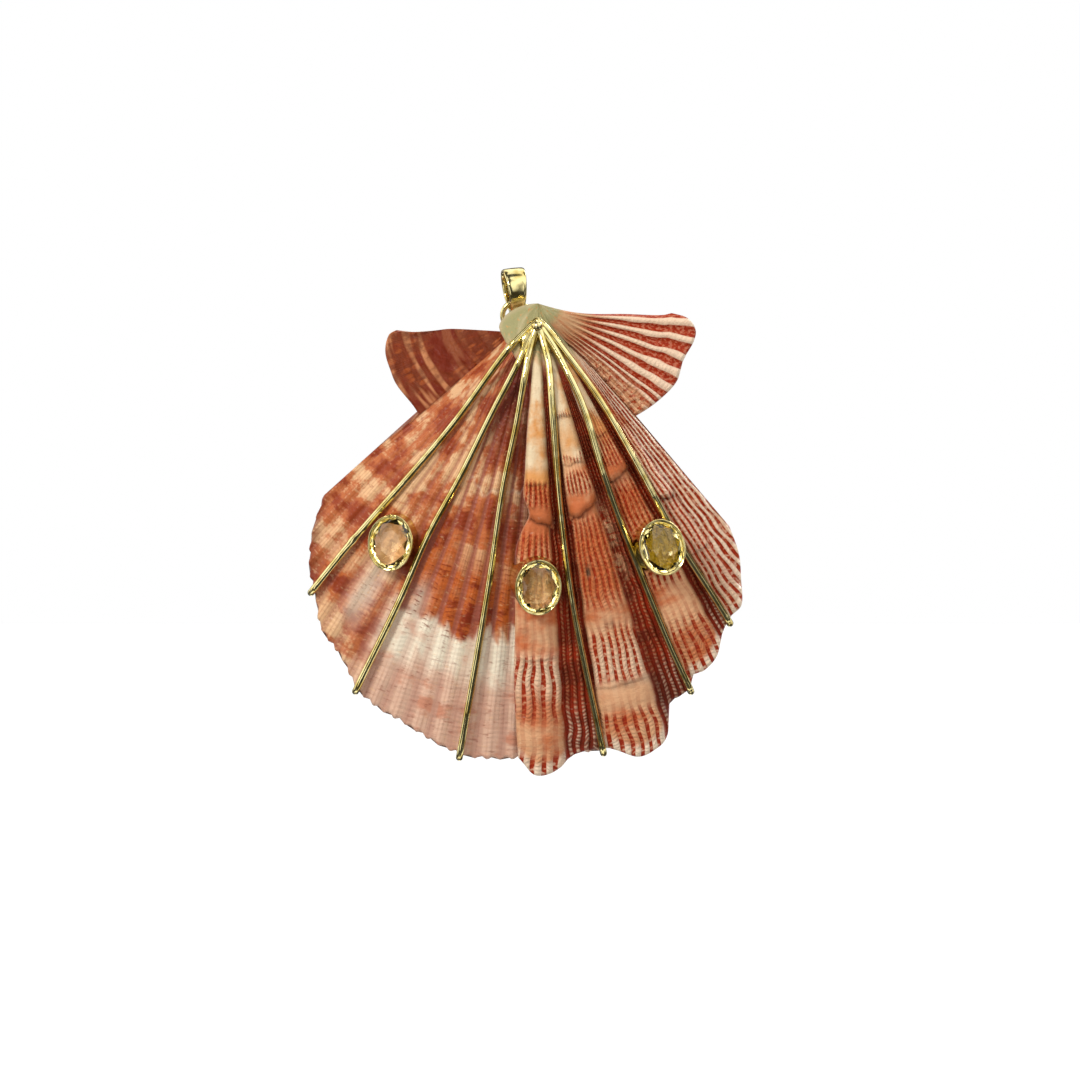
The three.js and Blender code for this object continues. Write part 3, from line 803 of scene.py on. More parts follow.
@dataclass
class RibbedValve(Valve):
    """The coral half shell with strong scaly ribs, its beak and its ear."""

    name: str = "ribbed_shell"
    node: str = "shell_right"
    crown: float = 14.0
    beak_thick: float = 2.6
    rim_thick: float = 1.4
    cut: float = -4.5
    seam: float = 40.8
    ear_from: float = 41.3
    ear_top: float = 86.1
    ribs: tuple[Rib, ...] = (
        Rib(
            -0.6, 4.3, 2.2, 42.6, 0.4, (35.6, 70.0), ((86.0, 0.5), (64.0, 0.35)),
            ((34.5, 0), (36.2, 1), (39.6, 1), (41, 0.1), (44.5, 0.15), (46.5, 0.9), (56, 0.8), (60, 0.3),
             (68.5, 0.35), (71, 1), (81, 0.9), (83.5, 0.3), (88, 0.35), (90, 1)),
            ((86.0, 3.4), (66.0, 3.4), (62.0, 4)), ((41.8, 2.4), (46, 4), (36, 2)),
        ),
        Rib(
            12.5, 4.3, 2.2, 41.8, -0.3, (22.8, 32.2, 76.6), ((79.6, 0.6), (62.0, 0.35)),
            ((21.5, 0), (22.5, 0.7), (23.6, 0), (30.4, 0), (31.2, 0.8), (32.4, 0.2), (33.8, 0.3), (34.6, 1),
             (37.6, 1), (39, 0.1), (42, 0.1), (44, 0.8), (60, 0.8), (62, 0.25), (64.5, 0.3), (66.5, 1),
             (75.2, 1), (76.6, 0.2), (81, 0.25), (83.2, 1)),
            ((79.6, 3.0), (27.5, 2.2)), ((40.5, 1.9), (48, 5), (56, 4)),
        ),
        Rib(
            24.9, 3.9, 1.9, 37.4, -0.15, (28.6,), ((67.5, 0.5), (50.0, 0.2)),
            ((22.5, 0), (24, 0.5), (28, 0.5), (30, 0.95), (34.6, 0.9), (36, 0.2),
              (38.2, 0.3), (40, 1), (60, 1),
             (62, 0.35), (67.5, 0.4), (69.5, 1)),
            ((65.5, 3.6), (25, 2)), ((36, 1.6), (42, 4), (52, 5)),
        ),
        Rib(33.4, 2.5, 1.3, 46.0, 0.2, (58.0,), ((63.0, 0.4),), ((12, 0), (20, 1)), (), ((50, 6), (60, 4))),
    )
    bands: tuple[Band, ...] = (
        Band(-4.9, 3.7, 6), Band(3.7, 8.2, 4), Band(8.2, 16.8, 7), Band(16.8, 21.0, 4), Band(21.0, 28.8, 6),
        Band(28.8, 30.9, 2), Band(30.9, 35.9, 4), Band(35.9, 40.8, 4),
         Band(41.3, 54.0, 4), Band(54.0, 86.1, 5),
    )

    def __post_init__(self) -> None:
        """Prepares the outline's curves."""
        self._disc = smooth_curve([
            (-4.5, 89.6), (-2.2, 92.7), (0.5, 93), (2.7, 91.6), (4.3, 89.4), (8.5, 88.6), (10.1, 89.5),
            (12.4, 91.5), (14.5, 91.1), (16.8, 88.8), (18.2, 83.2), (20, 82.3), (21.7, 81.4), (22.6, 79.4),
            (24.4, 79.4), (27, 77.9), (29.4, 74.4), (31.8, 72.4), (34.2, 71.6), (36.5, 67.5), (39, 63),
            (40.8, 57.8),
        ])
        self._ear = smooth_curve([
            (41.3, 29.3), (52.8, 30.6), (61, 31.3), (69, 30.7), (77, 31.6), (81, 31.4), (85, 29.3),
            (86.1, 26.4),
        ])
        self._cut_turn = smooth_curve([
            (0, -85.5), (5.3, -70.5), (8, -60), (9.1, -52.5), (9.6, -40), (11.4, -19.5), (15.9, -2.9),
            (24.6, 0),
        ])
        self._edge_turn = smooth_curve([
            (15.9, 0), (24.6, -0.5), (33, 0.1), (38, 0.2), (41.4, 2.1), (44.5, 0.6), (47.8, -0.6),
            (55, -0.3), (61.4, 0.3), (75, 0.9), (89.6, 2),
        ])
        self._top_turn = smooth_curve([(0, -13), (5.5, -10.6), (15.7, -3.3), (24.5, -1.2), (26.4, 0)])

    def columns(self) -> Array:
        """Even columns over the disc, then over the ear."""
        disc = np.linspace(self.cut, self.seam, 200)
        ear = np.linspace(self.ear_from, self.ear_top, padded_count(260, self.back_every) - 200)
        return np.concatenate([disc, ear])

    def rows(self) -> Array:
        """Rows, closer together at the rim."""
        t = np.linspace(0, 1, padded_count(312, self.back_every))
        return t + 0.035 * np.sin(math.pi * t) * t

    def rim(self, angle: Array) -> Array:
        """Distance from the beak to the rim of the disc or the ear."""
        return np.where(angle > self.seam + 0.01, self._ear(angle), self._disc(angle))

    def turned(self, angle: Array, r: Array) -> Array:
        """The true angle, bent by the ragged cut on one side and the ear's top on the other."""
        across = (angle - self.cut) / (self.ear_top - self.cut)
        slow = self._cut_turn(r) * (1 - across) ** 3
        quick = self._edge_turn(r) * np.exp(-(((angle - self.cut) / 4.2) ** 2))
        return angle + slow + quick + self._top_turn(r) * across**3

    def straight(self, angle: Array, r: Array) -> Array:
        """The angle that ribs and cords follow: straight lines from the beak, cut by the ragged edge."""
        true = np.clip(self.turned(angle, r), -90, self.seam)
        return np.where(angle > self.seam + 0.01, angle, true)

    def rib_height(self, angle: Array, r: Array) -> Array:
        """How far the strong ribs stand above their valleys."""
        total = np.zeros(np.broadcast(angle, r).shape)
        for rib in self.ribs:
            total += rib.high * self.over(rib, angle, r)
        return total * np.minimum(1, r / 35)

    def lip(self, rib: Rib, angle: Array) -> Array:
        """Where the rib's old scale ends: a rounded, ragged tongue."""
        off = (angle - rib.at) / rib.half
        sway = 0.3 * wander(angle / 3.4, 0 * angle, 21, 2)
        return rib.node + rib.slant * (angle - rib.at) - 1.3 * off**4 + sway

    def over(self, rib: Rib, angle: Array, r: Array) -> Array:
        """The rib's rounded section: 1 on its back, 0 off it; it starts anew, narrower, past its lip."""
        half = rib.half * (1 + 0.03 * wander(r / 5, angle * 0, 51 + int(rib.at), 3))
        if rib.node:
            past = r - rib.node - rib.slant * (angle - rib.at)
            half = half * (1 + 0.07 * np.exp(-np.abs(past) / 7) * (past < 0))
            half = half * (1 - 0.15 * np.exp(-np.abs(past) / 6) * (past >= 0))
        return np.clip(1 - (np.abs(angle - rib.at) / half) ** 4, 0, 1)

    def disc_lift(self, angle: Array, s: Array, r: Array, turned: Array) -> Array:
        """The domed disc's height, ribs included."""
        outward = np.where(angle > 0, 0.7 * np.abs(angle / self.seam) ** 3, 0)
        past = np.maximum(-5 - turned, 0)
        beak_side = 0.6 * past**2 / (past + 12) / 60
        fade = 1 - np.exp(-((r / 7) ** 2))
        dome = (1 - 0.64 * np.exp(-(np.hypot(s, 0.02) - 0.02) / 0.13)) * (1 - s**2.3) / 0.85
        return self.crown * dome * (1 - (outward + beak_side) * fade) + self.rib_height(turned, r)

    def lift(self, angle: Array, r: Array) -> Array:
        """Height of the disc, or of the ear that falls away from it."""
        disc = self.disc_lift(angle, r / self.rim(angle), r, self.turned(angle, r))
        seam = np.full_like(r, self.seam)
        side = self.disc_lift(seam, r / self._disc(seam), r, seam)
        t = (angle - self.seam) / (self.ear_top - self.seam)
        top = 1.8 + 4.1 * np.exp(-((r / 9) ** 2))
        ear = (side - EAR_STEP * np.minimum(1, r / 12)) * (1 - t) + top * t
        return np.where(angle <= self.seam + 0.01, disc, ear)

    def thickness(self, angle: Array, r: Array) -> Array:
        """Thick at the beak and thin at the rim."""
        s = np.clip(r / self.rim(angle) / 0.3, 0, 1)
        body = self.beak_thick + (self.rim_thick - self.beak_thick) * s
        return body * (0.5 + 0.5 * step(r, 0, 2.5))

    def phase(self, angle: Array, r: Array) -> Array:
        """Counts the fine cords across the valve; whole numbers are grooves."""
        total = 0.2 * wander(angle / 5, r / 8, 11, 3) * step(r, 5, 25) * np.where(angle > self.seam, 0.35, 1)
        for band in self.bands:
            total = total + band.cords * np.clip((angle - band.start) / (band.end - band.start), 0, 1)
        return total

    def ring(self, angle: Array, r: Array) -> Array:
        """Counts the small scales along each cord."""
        return r / 0.84 + 0.7 * wander(angle / 2.2, r / 6, 3, 3)

    def crest(self, angle: Array, r: Array) -> Array:
        """1 on the strong ribs, the outer cords and the ear, 0 in the valleys."""
        total = np.where(angle > 35.6, 1.0, 0.0)
        for rib in self.ribs:
            total = np.maximum(total, np.clip(self.over(rib, angle, r) * 2.4, 0, 1))
        return np.maximum(total, step(r, 15, 9))

    def bare(self, angle: Array, r: Array) -> Array:
        """1 where the young shell is smooth and without cords."""
        uneven = wander(angle / 3, r / 5, 5, 3)
        limit = np.select([angle < 6, angle < 19, angle < 29.5], [34.5, 31.5, 27.0], 13.0)
        return step(r + uneven, limit + 2, limit - 3) * (angle < self.ear_from)

    def grooved(self, angle: Array, r: Array) -> Array:
        """How strongly the cords and grooves show."""
        total = np.where(angle > self.seam, step(r, 5, 12), step(r, 8, 22))
        for rib in self.ribs:
            near = np.clip((1.08 - np.abs(angle - rib.at) / rib.half) * 8, 0, 1)
            cut = smooth_curve(rib.grooves)(r + 0.5 * wander(angle / 2, r / 3, 9, 2))
            total = total + (cut - total) * near
        return np.clip(total, 0, 1)

    def relief(self, angle: Array, r: Array) -> Array:
        """Cords, small scales, growth lines, lips and swellings."""
        angle = self.straight(angle, r)
        cord = 0.5 - 0.5 * np.cos(2 * math.pi * self.phase(angle, r))
        scale = 0.5 - 0.5 * np.cos(2 * math.pi * self.ring(angle, r))
        crest, grooved, grown = self.crest(angle, r), self.grooved(angle, r), np.minimum(1, r / 35)
        on_ear = angle > self.seam
        ridges = np.where(on_ear, 0.62, np.where(angle > 35.4, 0.42, 0.3 + 0.06 * crest)) * cord * grooved
        scales = np.where(on_ear, 0.05, 0.3 - 0.2 * crest) * scale * cord * grooved
        height = (ridges + scales) * np.where(on_ear, step(r, 4, 16), grown)
        height = height + 0.11 * wander(r / 3, angle / 40, 8, 4) * grown
        for rib in self.ribs:
            over = self.over(rib, angle, r) ** 0.5
            for middle, high in rib.swells:
                height = height + high * over * bell(r, middle, 3.2)
            for at in rib.steps:
                past = r - at + 0.3 * wander(angle / 3.2, 0 * angle, int(at), 2)
                height = height + 0.4 * over * np.exp(-np.abs(past) / 4) * (past < 0)
            past = r - self.lip(rib, angle)
            round_end = 1 - np.exp(-np.abs(past) / 0.45)
            grow = 1.9 * min(1.0, rib.half / 3.5)
            height = height + grow * over * np.exp(-np.abs(past) / 8) * round_end * (past < 0)
            height = height - 0.7 * over * np.exp(-np.abs(past) / 1.8) * (past >= 0)
        crumbs = np.maximum(wander(angle / 1.6, r / 1.5, 14, 4), -0.2)
        height = height + 0.5 * crumbs * self.crust(angle, r) - 0.4 * self.scar(angle, r)
        return height * step(r, 5, 13)

    def crust(self, angle: Array, r: Array) -> Array:
        """1 on the crumbly growth along the ear's seam and beside the second rib."""
        uneven = wander(angle / 4, r / 4, 23, 4)
        seam = step(angle + 2.5 * uneven, 53, 44) * step(angle, 40.2, 41.4) * step(r, 9, 17)
        valley = bell(angle + 0.5 * uneven, 17.6, 1.2) * step(r, 38, 46) * step(r, 64, 54)
        valley = valley * step(uneven, -0.5, 0.4)
        return np.clip(seam * 0.85 + valley, 0, 1)

    def scar(self, angle: Array, r: Array) -> Array:
        """The small grey healed mark on the second rib."""
        return bell(angle, 10.6, 0.45) * bell(r + 0.5 * wander(angle, r / 2, 2, 2), 53.8, 1.1)

    def stains(self, angle: Array, r: Array) -> Array:
        """Grey stains at the setting's foot and on the second rib's smears."""
        uneven = 0.5 + 0.5 * wander(angle / 1.5, r / 1.6, 61, 3)
        spots = bell(angle, -2.4, 0.9) * bell(r, 63.6, 1.2) + bell(angle, 12.5, 1.6) * bell(r, 64.6, 1.0)
        return spots * uneven + bell(angle, 14, 2.2) * bell(r, 77, 0.9) * uneven

    def cut_edge(self, angle: Array, r: Array) -> Array:
        """1 close to the sawn side."""
        return step(np.radians(angle - self.cut) * np.maximum(r, 3), 0.35, 0.0)

    def marks(self, angle: Array, r: Array) -> dict[str, Array]:
        """Masks for the coral finish."""
        s = r / self.rim(angle)
        angle = self.straight(angle, r)
        uneven = wander(angle / 3, r / 5, 31, 4)
        ear = np.where(angle > self.seam, 1.0, 0.0)
        flame, blush, crack = np.zeros_like(r), np.zeros_like(r), np.zeros_like(r)
        for rib in self.ribs:
            near = np.clip(self.over(rib, angle, r) * 2, 0, 1)
            for middle, width in rib.flames:
                flame = flame + near * bell(r + uneven, middle, width)
            for middle, width in rib.blushes:
                blush = blush + near * bell(r + 0.6 * uneven, middle, width)
            # Painted shade: a dark line just under each scale lip, and a fainter one under each growth step.
            past = r - self.lip(rib, angle)
            crack = crack + 0.6 * near * bell(past, 0.25, 0.28) * min(1.0, rib.half / 3.5)
            for at in rib.steps:
                past = r - at + 0.3 * wander(angle / 3.2, 0 * angle, int(at), 2)
                crack = crack + 0.2 * near * bell(past, 0.15, 0.2)
        outer = np.where(angle > 35.4, 1.0, 0.0) * (1 - ear)
        bleach = np.maximum(step(s, 0.965, 0.985), outer * 0.95 * step(uneven, -1.2, 0.0))
        bleach = np.maximum(bleach, ear * step(r, 9, 16) * 0.85)
        bleach = np.maximum(bleach, (1 - ear) * step(angle, 30.4, 32.5) * step(r, 30, 44) * 0.6)
        bleach = np.maximum(bleach, (angle < 17) * bell(r + uneven, 73, 5) * 0.55)
        chalk = np.maximum(step(r + 1.2 * uneven, 12.5, 8.5) * (1 - 0.75 * ear), ear * step(r, 6.5, 3.5))
        tanned = np.where(angle < 6, bell(r + 0.5 * uneven, 34.2, 1.9), 0) * (1 - ear)
        tanned = tanned + np.where((angle > 6) & (angle < 29), bell(r + uneven, 27, 3.6), 0) * 0.6
        return {
            "phase": self.phase(angle, r), "ring": self.ring(angle, r), "crest": self.crest(angle, r),
            "grooved": self.grooved(angle, r), "bare": self.bare(angle, r), "tanned": np.clip(tanned, 0, 1),
            "flame": np.clip(flame, 0, 1), "blush": np.clip(blush, 0, 1),
            "bleach": bleach * (1 - 0.9 * flame.clip(0, 1)),
            "chalk": chalk, "crust": self.crust(angle, r), "ear": ear + 0.6 * outer,
            "crack": np.clip(crack, 0, 1) * step(r, 14, 20),
            "scar": np.clip(1.6 * self.scar(angle, r) + 0.6 * self.stains(angle, r), 0, 1),
        }


@dataclass
class MottledValve(Valve):
    """The smoother half shell with low ribs, tucked under the other."""

    name: str = "smooth_shell"
    node: str = "shell_left"
    crown: float = 11.5
    thick: float = 1.5
    sunk: float = 0.9
    seam: float = -48.3
    ear_from: float = -48.6
    ear_top: float = -79.5
    ear_top_lift: float = 1.2
    inner_end: float = 9.0
    rib_pitch: float = 3.2

    def __post_init__(self) -> None:
        """Prepares the outline's curves."""
        self._disc = smooth_curve([
            (-48.3, 56.5), (-44.4, 63.9), (-40.7, 69.1), (-36.8, 73), (-34.3, 76.5), (-28.8, 80),
            (-25.5, 83.6), (-22.4, 85.4), (-17.7, 86.8), (-11.4, 89.6), (-7.6, 90.3), (2.5, 88.8),
        ])
        self._ear = smooth_curve([
            (-79.5, 28.6), (-78.6, 29.9), (-72.9, 31.5), (-66, 31.9), (-61.9, 32.1),
             (-53.3, 31.7), (-48.6, 32),
        ])
        self._seam_turn = smooth_curve([(9, 6), (19.5, 2.8), (26.6, 2.9), (33, 1.7), (37.6, 1.3), (43, 0)])

    def columns(self) -> Array:
        """Even columns over the ear, then over the disc."""
        ear = np.linspace(self.ear_top, self.ear_from, 60)
        disc = np.linspace(self.seam, self.inner_end, padded_count(260, self.back_every) - 60)
        return np.concatenate([ear, disc])

    def rows(self) -> Array:
        """Rows, closer together at the rim."""
        t = np.linspace(0, 1, padded_count(280, self.back_every))
        return t + 0.035 * np.sin(math.pi * t) * t

    def start(self, angle: Array) -> Array:
        """The hidden inner end of the disc and the ear's straight top."""
        depth = 4.9 + 0.6 * step(angle, -74.5, -76.5)
        straight = np.maximum(8.9, depth / np.cos(np.radians(angle)))
        return np.minimum(straight, self.rim(angle) - 0.4)

    def rim(self, angle: Array) -> Array:
        """Distance from the beak to the finely scalloped rim."""
        wave = 0.32 * np.cos(4 * math.pi * angle / self.rib_pitch)
        return np.where(angle < self.seam - 0.01, self._ear(angle), self._disc(angle) + wave)

    def turned(self, angle: Array, r: Array) -> Array:
        """The true angle, nipped in at the notch under the ear."""
        near = np.clip(1 - np.abs(angle - self.seam) / 25, 0, 1)
        return angle + self._seam_turn(r) * near

    def disc_lift(self, angle: Array, s: Array) -> Array:
        """The domed disc's height."""
        outward = 0.68 * np.minimum(1, np.abs(angle / self.seam)) ** 2.6
        dome = (1 - 0.7 * np.exp(-s / 0.15)) * (1 - s**2.3) / 0.85
        return self.crown * dome * (1 - outward) - self.sunk

    def lift(self, angle: Array, r: Array) -> Array:
        """Height of the disc, or of the ear that falls away from it."""
        disc = self.disc_lift(angle, r / (self.rim(angle) + 0.32))
        seam = np.full_like(r, self.seam)
        t = (angle - self.seam) / (self.ear_top - self.seam)
        side = self.disc_lift(seam, r / self._disc(seam)) - EAR_STEP
        return np.where(angle >= self.seam - 0.01, disc, side * (1 - t) + self.ear_top_lift * t)

    def thickness(self, angle: Array, r: Array) -> Array:
        """Even, a little thinner at the rim."""
        return self.thick - 0.35 * step(r / self.rim(angle), 0.7, 1)

    def phase(self, angle: Array, r: Array) -> Array:
        """Counts the low ribs; whole numbers are their crests."""
        return angle / self.rib_pitch + 0.09 * wander(angle / 5, r / 14, 17, 2)

    def crack(self, angle: Array, r: Array) -> Array:
        """1 along the fine healed line across the middle ribs."""
        line = 37.5 + 1.3 * wander(angle / 4, 0 * r, 6, 3)
        return bell(r, line, 0.28) * step(angle, -23, -20) * step(angle, 0, -3)

    def relief(self, angle: Array, r: Array) -> Array:
        """Low ribs, growth lines and the healed line."""
        on_disc = angle >= self.seam - 0.01
        grown = np.clip(r / 60, 0.15, 1)
        crest = 0.5 + 0.5 * np.cos(2 * math.pi * self.phase(angle, r))
        ribs = 0.6 * (crest**0.7 - 0.5) * grown * on_disc
        growth = 0.09 * wander(r / 2.6, angle / 50, 4, 4) + 0.03 * np.sin(2 * math.pi * r / 0.95)
        folds = 0.2 * np.sin(2 * math.pi * (r + 0.8 * wander(angle / 9, r / 9, 29, 2)) / 3.4) * (~on_disc)
        return ribs + growth + folds * step(r, 10, 18) - 0.18 * self.crack(angle, r)

    def cut_edge(self, angle: Array, r: Array) -> Array:
        """1 along the hidden sawn side."""
        return step(np.radians(self.inner_end - angle) * r, 0.35, 0.0)

    def marks(self, angle: Array, r: Array) -> dict[str, Array]:
        """Masks for the mottled finish."""
        uneven = wander(angle / 4, r / 8, 41, 4)
        number = np.round(angle / self.rib_pitch)
        jog = 1.0 * np.sin(number * 12.9898) + 0.8 * np.sin(number * 4.1)
        centre = step(angle, -28, -24)
        along = r + 1.6 * uneven + jog
        orange = centre * step(along, 36, 50) * step(along + 0.25 * (angle + 12), 69, 63.5)
        orange = orange * (0.45 + 0.55 * step(along, 48, 56)) * step(angle, -1.5, -4)
        orange = orange + 0.45 * (1 - centre) * bell(along, 66, 7) * step(angle, -46, -36)
        white = centre * step(along, 64, 66.5) * step(along, 81, 73)
        white = white + 0.8 * bell(angle, -31, 2) * bell(along, 66, 7)
        white = white + 0.7 * bell(angle, -22, 1.6) * bell(along, 63, 4)
        pink = centre * step(along, 71, 77) * 0.95 + (1 - centre) * step(along, 78, 83) * 0.5
        maroon = step(angle, -26, -17) * step(along + 0.4 * (angle + 10), 34, 17)
        maroon = np.maximum(maroon, step(angle + uneven, -9, -4) * step(along, 56, 40) * 0.75)
        maroon = np.maximum(maroon, 0.7 * step(r / self.rim(angle), 0.93, 1) * step(angle, -36, -42))
        lines = centre * step(r, 16, 30) + (1 - centre) * step(angle, -46, -36) * 0.6
        return {
            "phase": self.phase(angle, r) + 40, "far": r,
            "ring": r / 0.95 + 0.4 * wander(angle / 3, r / 9, 19, 2),
            "orange": np.clip(orange, 0, 1), "white": np.clip(white, 0, 1), "pink": np.clip(pink, 0, 1),
            "maroon": np.clip(maroon, 0, 1), "lines": np.clip(lines, 0, 1),
            "dots": step(angle, -26, -29) * step(r, 40, 50),
            "ear": np.where(angle < self.seam - 0.01, 1.0, 0.0),
            "crack": self.crack(angle, r), "outer": 0.25 + 0.75 * step(r, 20, 25),
        }


class Ground:
    """The shells' front surfaces together, for laying gold on them."""

    off = -3.0

    def __init__(self, upper: Valve, lower: Valve) -> None:
        """Keeps both valves."""
        self.upper, self.lower = upper, lower

    def lift(self, x: Array, z: Array) -> Array:
        """Height of the topmost shell under points in front view."""
        x, z = np.broadcast_arrays(np.asarray(x, float), np.asarray(z, float))
        angle, r, on = self.upper.invert(x, z)
        high = self.upper.lift(angle, r) + self.upper.relief(angle, r)
        angle, r, under = self.lower.invert(x, z)
        low = self.lower.lift(angle, r) + self.lower.relief(angle, r)
        return np.where(on, high, np.where(under, low, self.off))

    def edge(self, x: Array, z: Array) -> Array:
        """Shell thickness under points, from whichever valve is on top."""
        _, _, on = self.upper.invert(np.asarray(x, float), np.asarray(z, float))
        return np.where(on, 1.4, 1.2)


def tube(name: str, path: Array, radii: Array, sides: int = 18) -> bpy.types.Object:
    """Makes a round bar along a path, with domed ends.

    Args:
        name: The piece's name.
        path: Points in metres.
        radii: The bar's radius at each point, in metres.
        sides: Corners round the section.

    Returns:
        The bar.
    """
    ahead = np.gradient(path, axis=0)
    ahead /= np.linalg.norm(ahead, axis=1, keepdims=True)
    normal = np.cross(ahead[0], [0.3, 0.2, 1.0])
    turns = np.linspace(0, 2 * math.pi, sides, endpoint=False)
    rings = []
    domes = [(-0.95, 0.35), (-0.7, 0.72), (-0.3, 0.95)]
    stations = [(0, -back, share) for back, share in [(-d[0], d[1]) for d in domes]]
    stations += [(i, 0.0, 1.0) for i in range(len(path))]
    stations += [(len(path) - 1, -d[0], d[1]) for d in reversed(domes)]
    for i, shift, share in stations:
        normal = normal - ahead[i] * normal.dot(ahead[i])
        normal /= np.linalg.norm(normal)
        other = np.cross(ahead[i], normal)
        centre = path[i] + ahead[i] * shift * radii[i]
        spoke = np.outer(np.cos(turns), normal) + np.outer(np.sin(turns), other)
        rings.append(centre + spoke * radii[i] * share)
    count = len(rings)
    faces = []
    for i in range(count - 1):
        for k in range(sides):
            a, b = i * sides + k, i * sides + (k + 1) % sides
            faces.append((a, b, b + sides, a + sides))
    faces.append(tuple(range(sides))[::-1])
    faces.append(tuple((count - 1) * sides + k for k in range(sides)))
    obj = mesh_object(name, np.concatenate(rings), faces)
    close_up(obj)
    return obj


def smooth_path(points: Array, count: int) -> Array:
    """Runs a Catmull-Rom curve through points, evenly sampled by length."""
    length = np.concatenate([[0], np.cumsum(np.linalg.norm(np.diff(points, axis=0), axis=1))])
    at = np.linspace(0, length[-1], count)
    axes = [smooth_curve(list(zip(length, points[:, k])))(at) for k in range(points.shape[1])]
    return np.stack(axes, axis=1)


@dataclass
class WireFan:
    """Six gold wires from the apex over the shells to claws round the rim."""

    ground: Ground
    gold: bpy.types.Material
    radius: float = 0.7
    grip: float = 3.6
    routes: tuple[tuple[tuple[float, float], ...], ...] = (
        ((4.5, -8.0), (2.9, -9.3), (-1.6, -14.2), (-11.6, -27.8), (-19.5, -37.2),
         (-31.7, -51), (-40.1, -61.3)),
        ((3.9, -9.6), (2.6, -12.2), (0.7, -16.6), (-4.1, -25.8), (-10.2, -38), (-16.9, -50.2), (-22.4, -62.6),
         (-30.4, -78.9)),
        ((4.2, -9.8), (3.5, -12.2), (2.5, -16.6), (0.6, -27.8), (-2.2, -41.3), (-4.7, -58.3), (-7.3, -74),
         (-10.5, -92)),
        ((5.0, -9.8), (5.7, -12.2), (6.8, -16.6), (7.7, -27.8), (9.05, -44.7), (11.4, -62.8), (13.8, -75.2),
         (17.4, -91.9)),
        ((5.5, -9.6), (7.2, -12.2), (9.7, -16.6), (13.6, -25), (17.5, -38), (23, -53), (30.3, -70.9),
         (34.6, -80.2)),
        ((4.7, -8.0), (6.3, -9.4), (10.7, -15.0), (16.9, -23.6), (23.6, -35.2), (32.3, -51.2), (39.6, -62.6),
         (42.9, -67.9)),
    )

    def build(self) -> None:
        """Makes each wire as its own piece."""
        for number, route in enumerate(self.routes, start=1):
            path = self.path(np.array(route))
            radii = np.full(len(path), self.radius * MM)
            if number == 1:
                radii = radii * (1 + 0.22 * bell(np.linspace(0, 1, len(path)), 0.735, 0.012))
            obj = tube(f"fan_wire_{number}", path, radii)
            dress(obj, self.gold, "gold", PENDANT, f"wire_{number}")

    def path(self, route: Array) -> Array:
        """Lays one wire taut over the shells and hooks its end round the rim.

        Args:
            route: Its way in front view, in millimetres.

        Returns:
            Points in metres.
        """
        flat = smooth_path(route, 140)
        resting = self.ground.lift(flat[:, 0], flat[:, 1]) > self.ground.off + 0.1
        flat = flat[: int(np.flatnonzero(resting)[-1]) + 1]
        x, z = flat[:, 0], flat[:, 1]
        side = self.radius * 0.8
        under = np.maximum.reduce([self.ground.lift(x + d, z) for d in np.linspace(-side, side, 5)])
        beside = np.pad(under, 1, mode="edge")
        under = np.maximum.reduce([under, beside[:-2], beside[2:]])
        lifts = under + self.radius - 0.05
        taut = taut_over(lifts)
        for width in (9, 5):
            soft = np.convolve(np.pad(taut, width // 2, mode="edge"), np.ones(width) / width, mode="valid")
            taut = np.maximum(soft, lifts + 0.03)
        taut = taut + 0.12 * step(np.arange(len(taut)), 10, 0)
        out = (flat[-1] - flat[-4]) / np.linalg.norm(flat[-1] - flat[-4])
        rim = flat[-1]
        past = self.clear_of_rim(rim, out)
        on_rim = lifts[-1] - self.radius
        thick = float(self.ground.edge(rim[0], rim[1]))
        claw = []
        for reach, lift in (
            (past - 0.75, on_rim + 0.5), (past - 0.15, on_rim - 0.15), (past, on_rim - thick / 2 - 0.3),
            (past - 0.25, on_rim - thick - 0.75), (past - 1.1, on_rim - thick - 1.35),
            (past - 2.25, on_rim - thick - 1.3), (-self.grip, on_rim - thick - 0.95),
        ):
            spot = rim + out * reach
            claw.append(place(spot[0], spot[1], np.array(lift)))
        points = np.concatenate([place(x, z, taut), np.array(claw)])
        return smooth_path(points, 190)

    def clear_of_rim(self, rim: Array, out: Array) -> float:
        """How far past its last resting point the wire has to go to drop clear of the shell's rim.

        Args:
            rim: The last resting point in front view, in millimetres.
            out: The wire's way there.

        Returns:
            The distance to the claw's middle line, in millimetres.
        """
        reach = np.linspace(0, 3.2, 65)
        lift = self.ground.lift(rim[0] + out[0] * reach, rim[1] + out[1] * reach)
        off = lift <= self.ground.off + 0.1
        first = reach[int(np.argmax(off))] if off.any() else reach[-1]
        return float(first) + self.radius * 0.9


def taut_over(lifts: Array) -> Array:
    """The line of a stretched wire resting on a row of heights."""
    taut = lifts.copy()
    count = len(lifts)
    place_in_row = np.arange(count)
    for a in range(count):
        for b in range(a + 2, count):
            between = place_in_row[a + 1 : b]
            line = lifts[a] + (lifts[b] - lifts[a]) * (between - a) / (b - a)
            taut[a + 1 : b] = np.maximum(taut[a + 1 : b], line)
    return taut


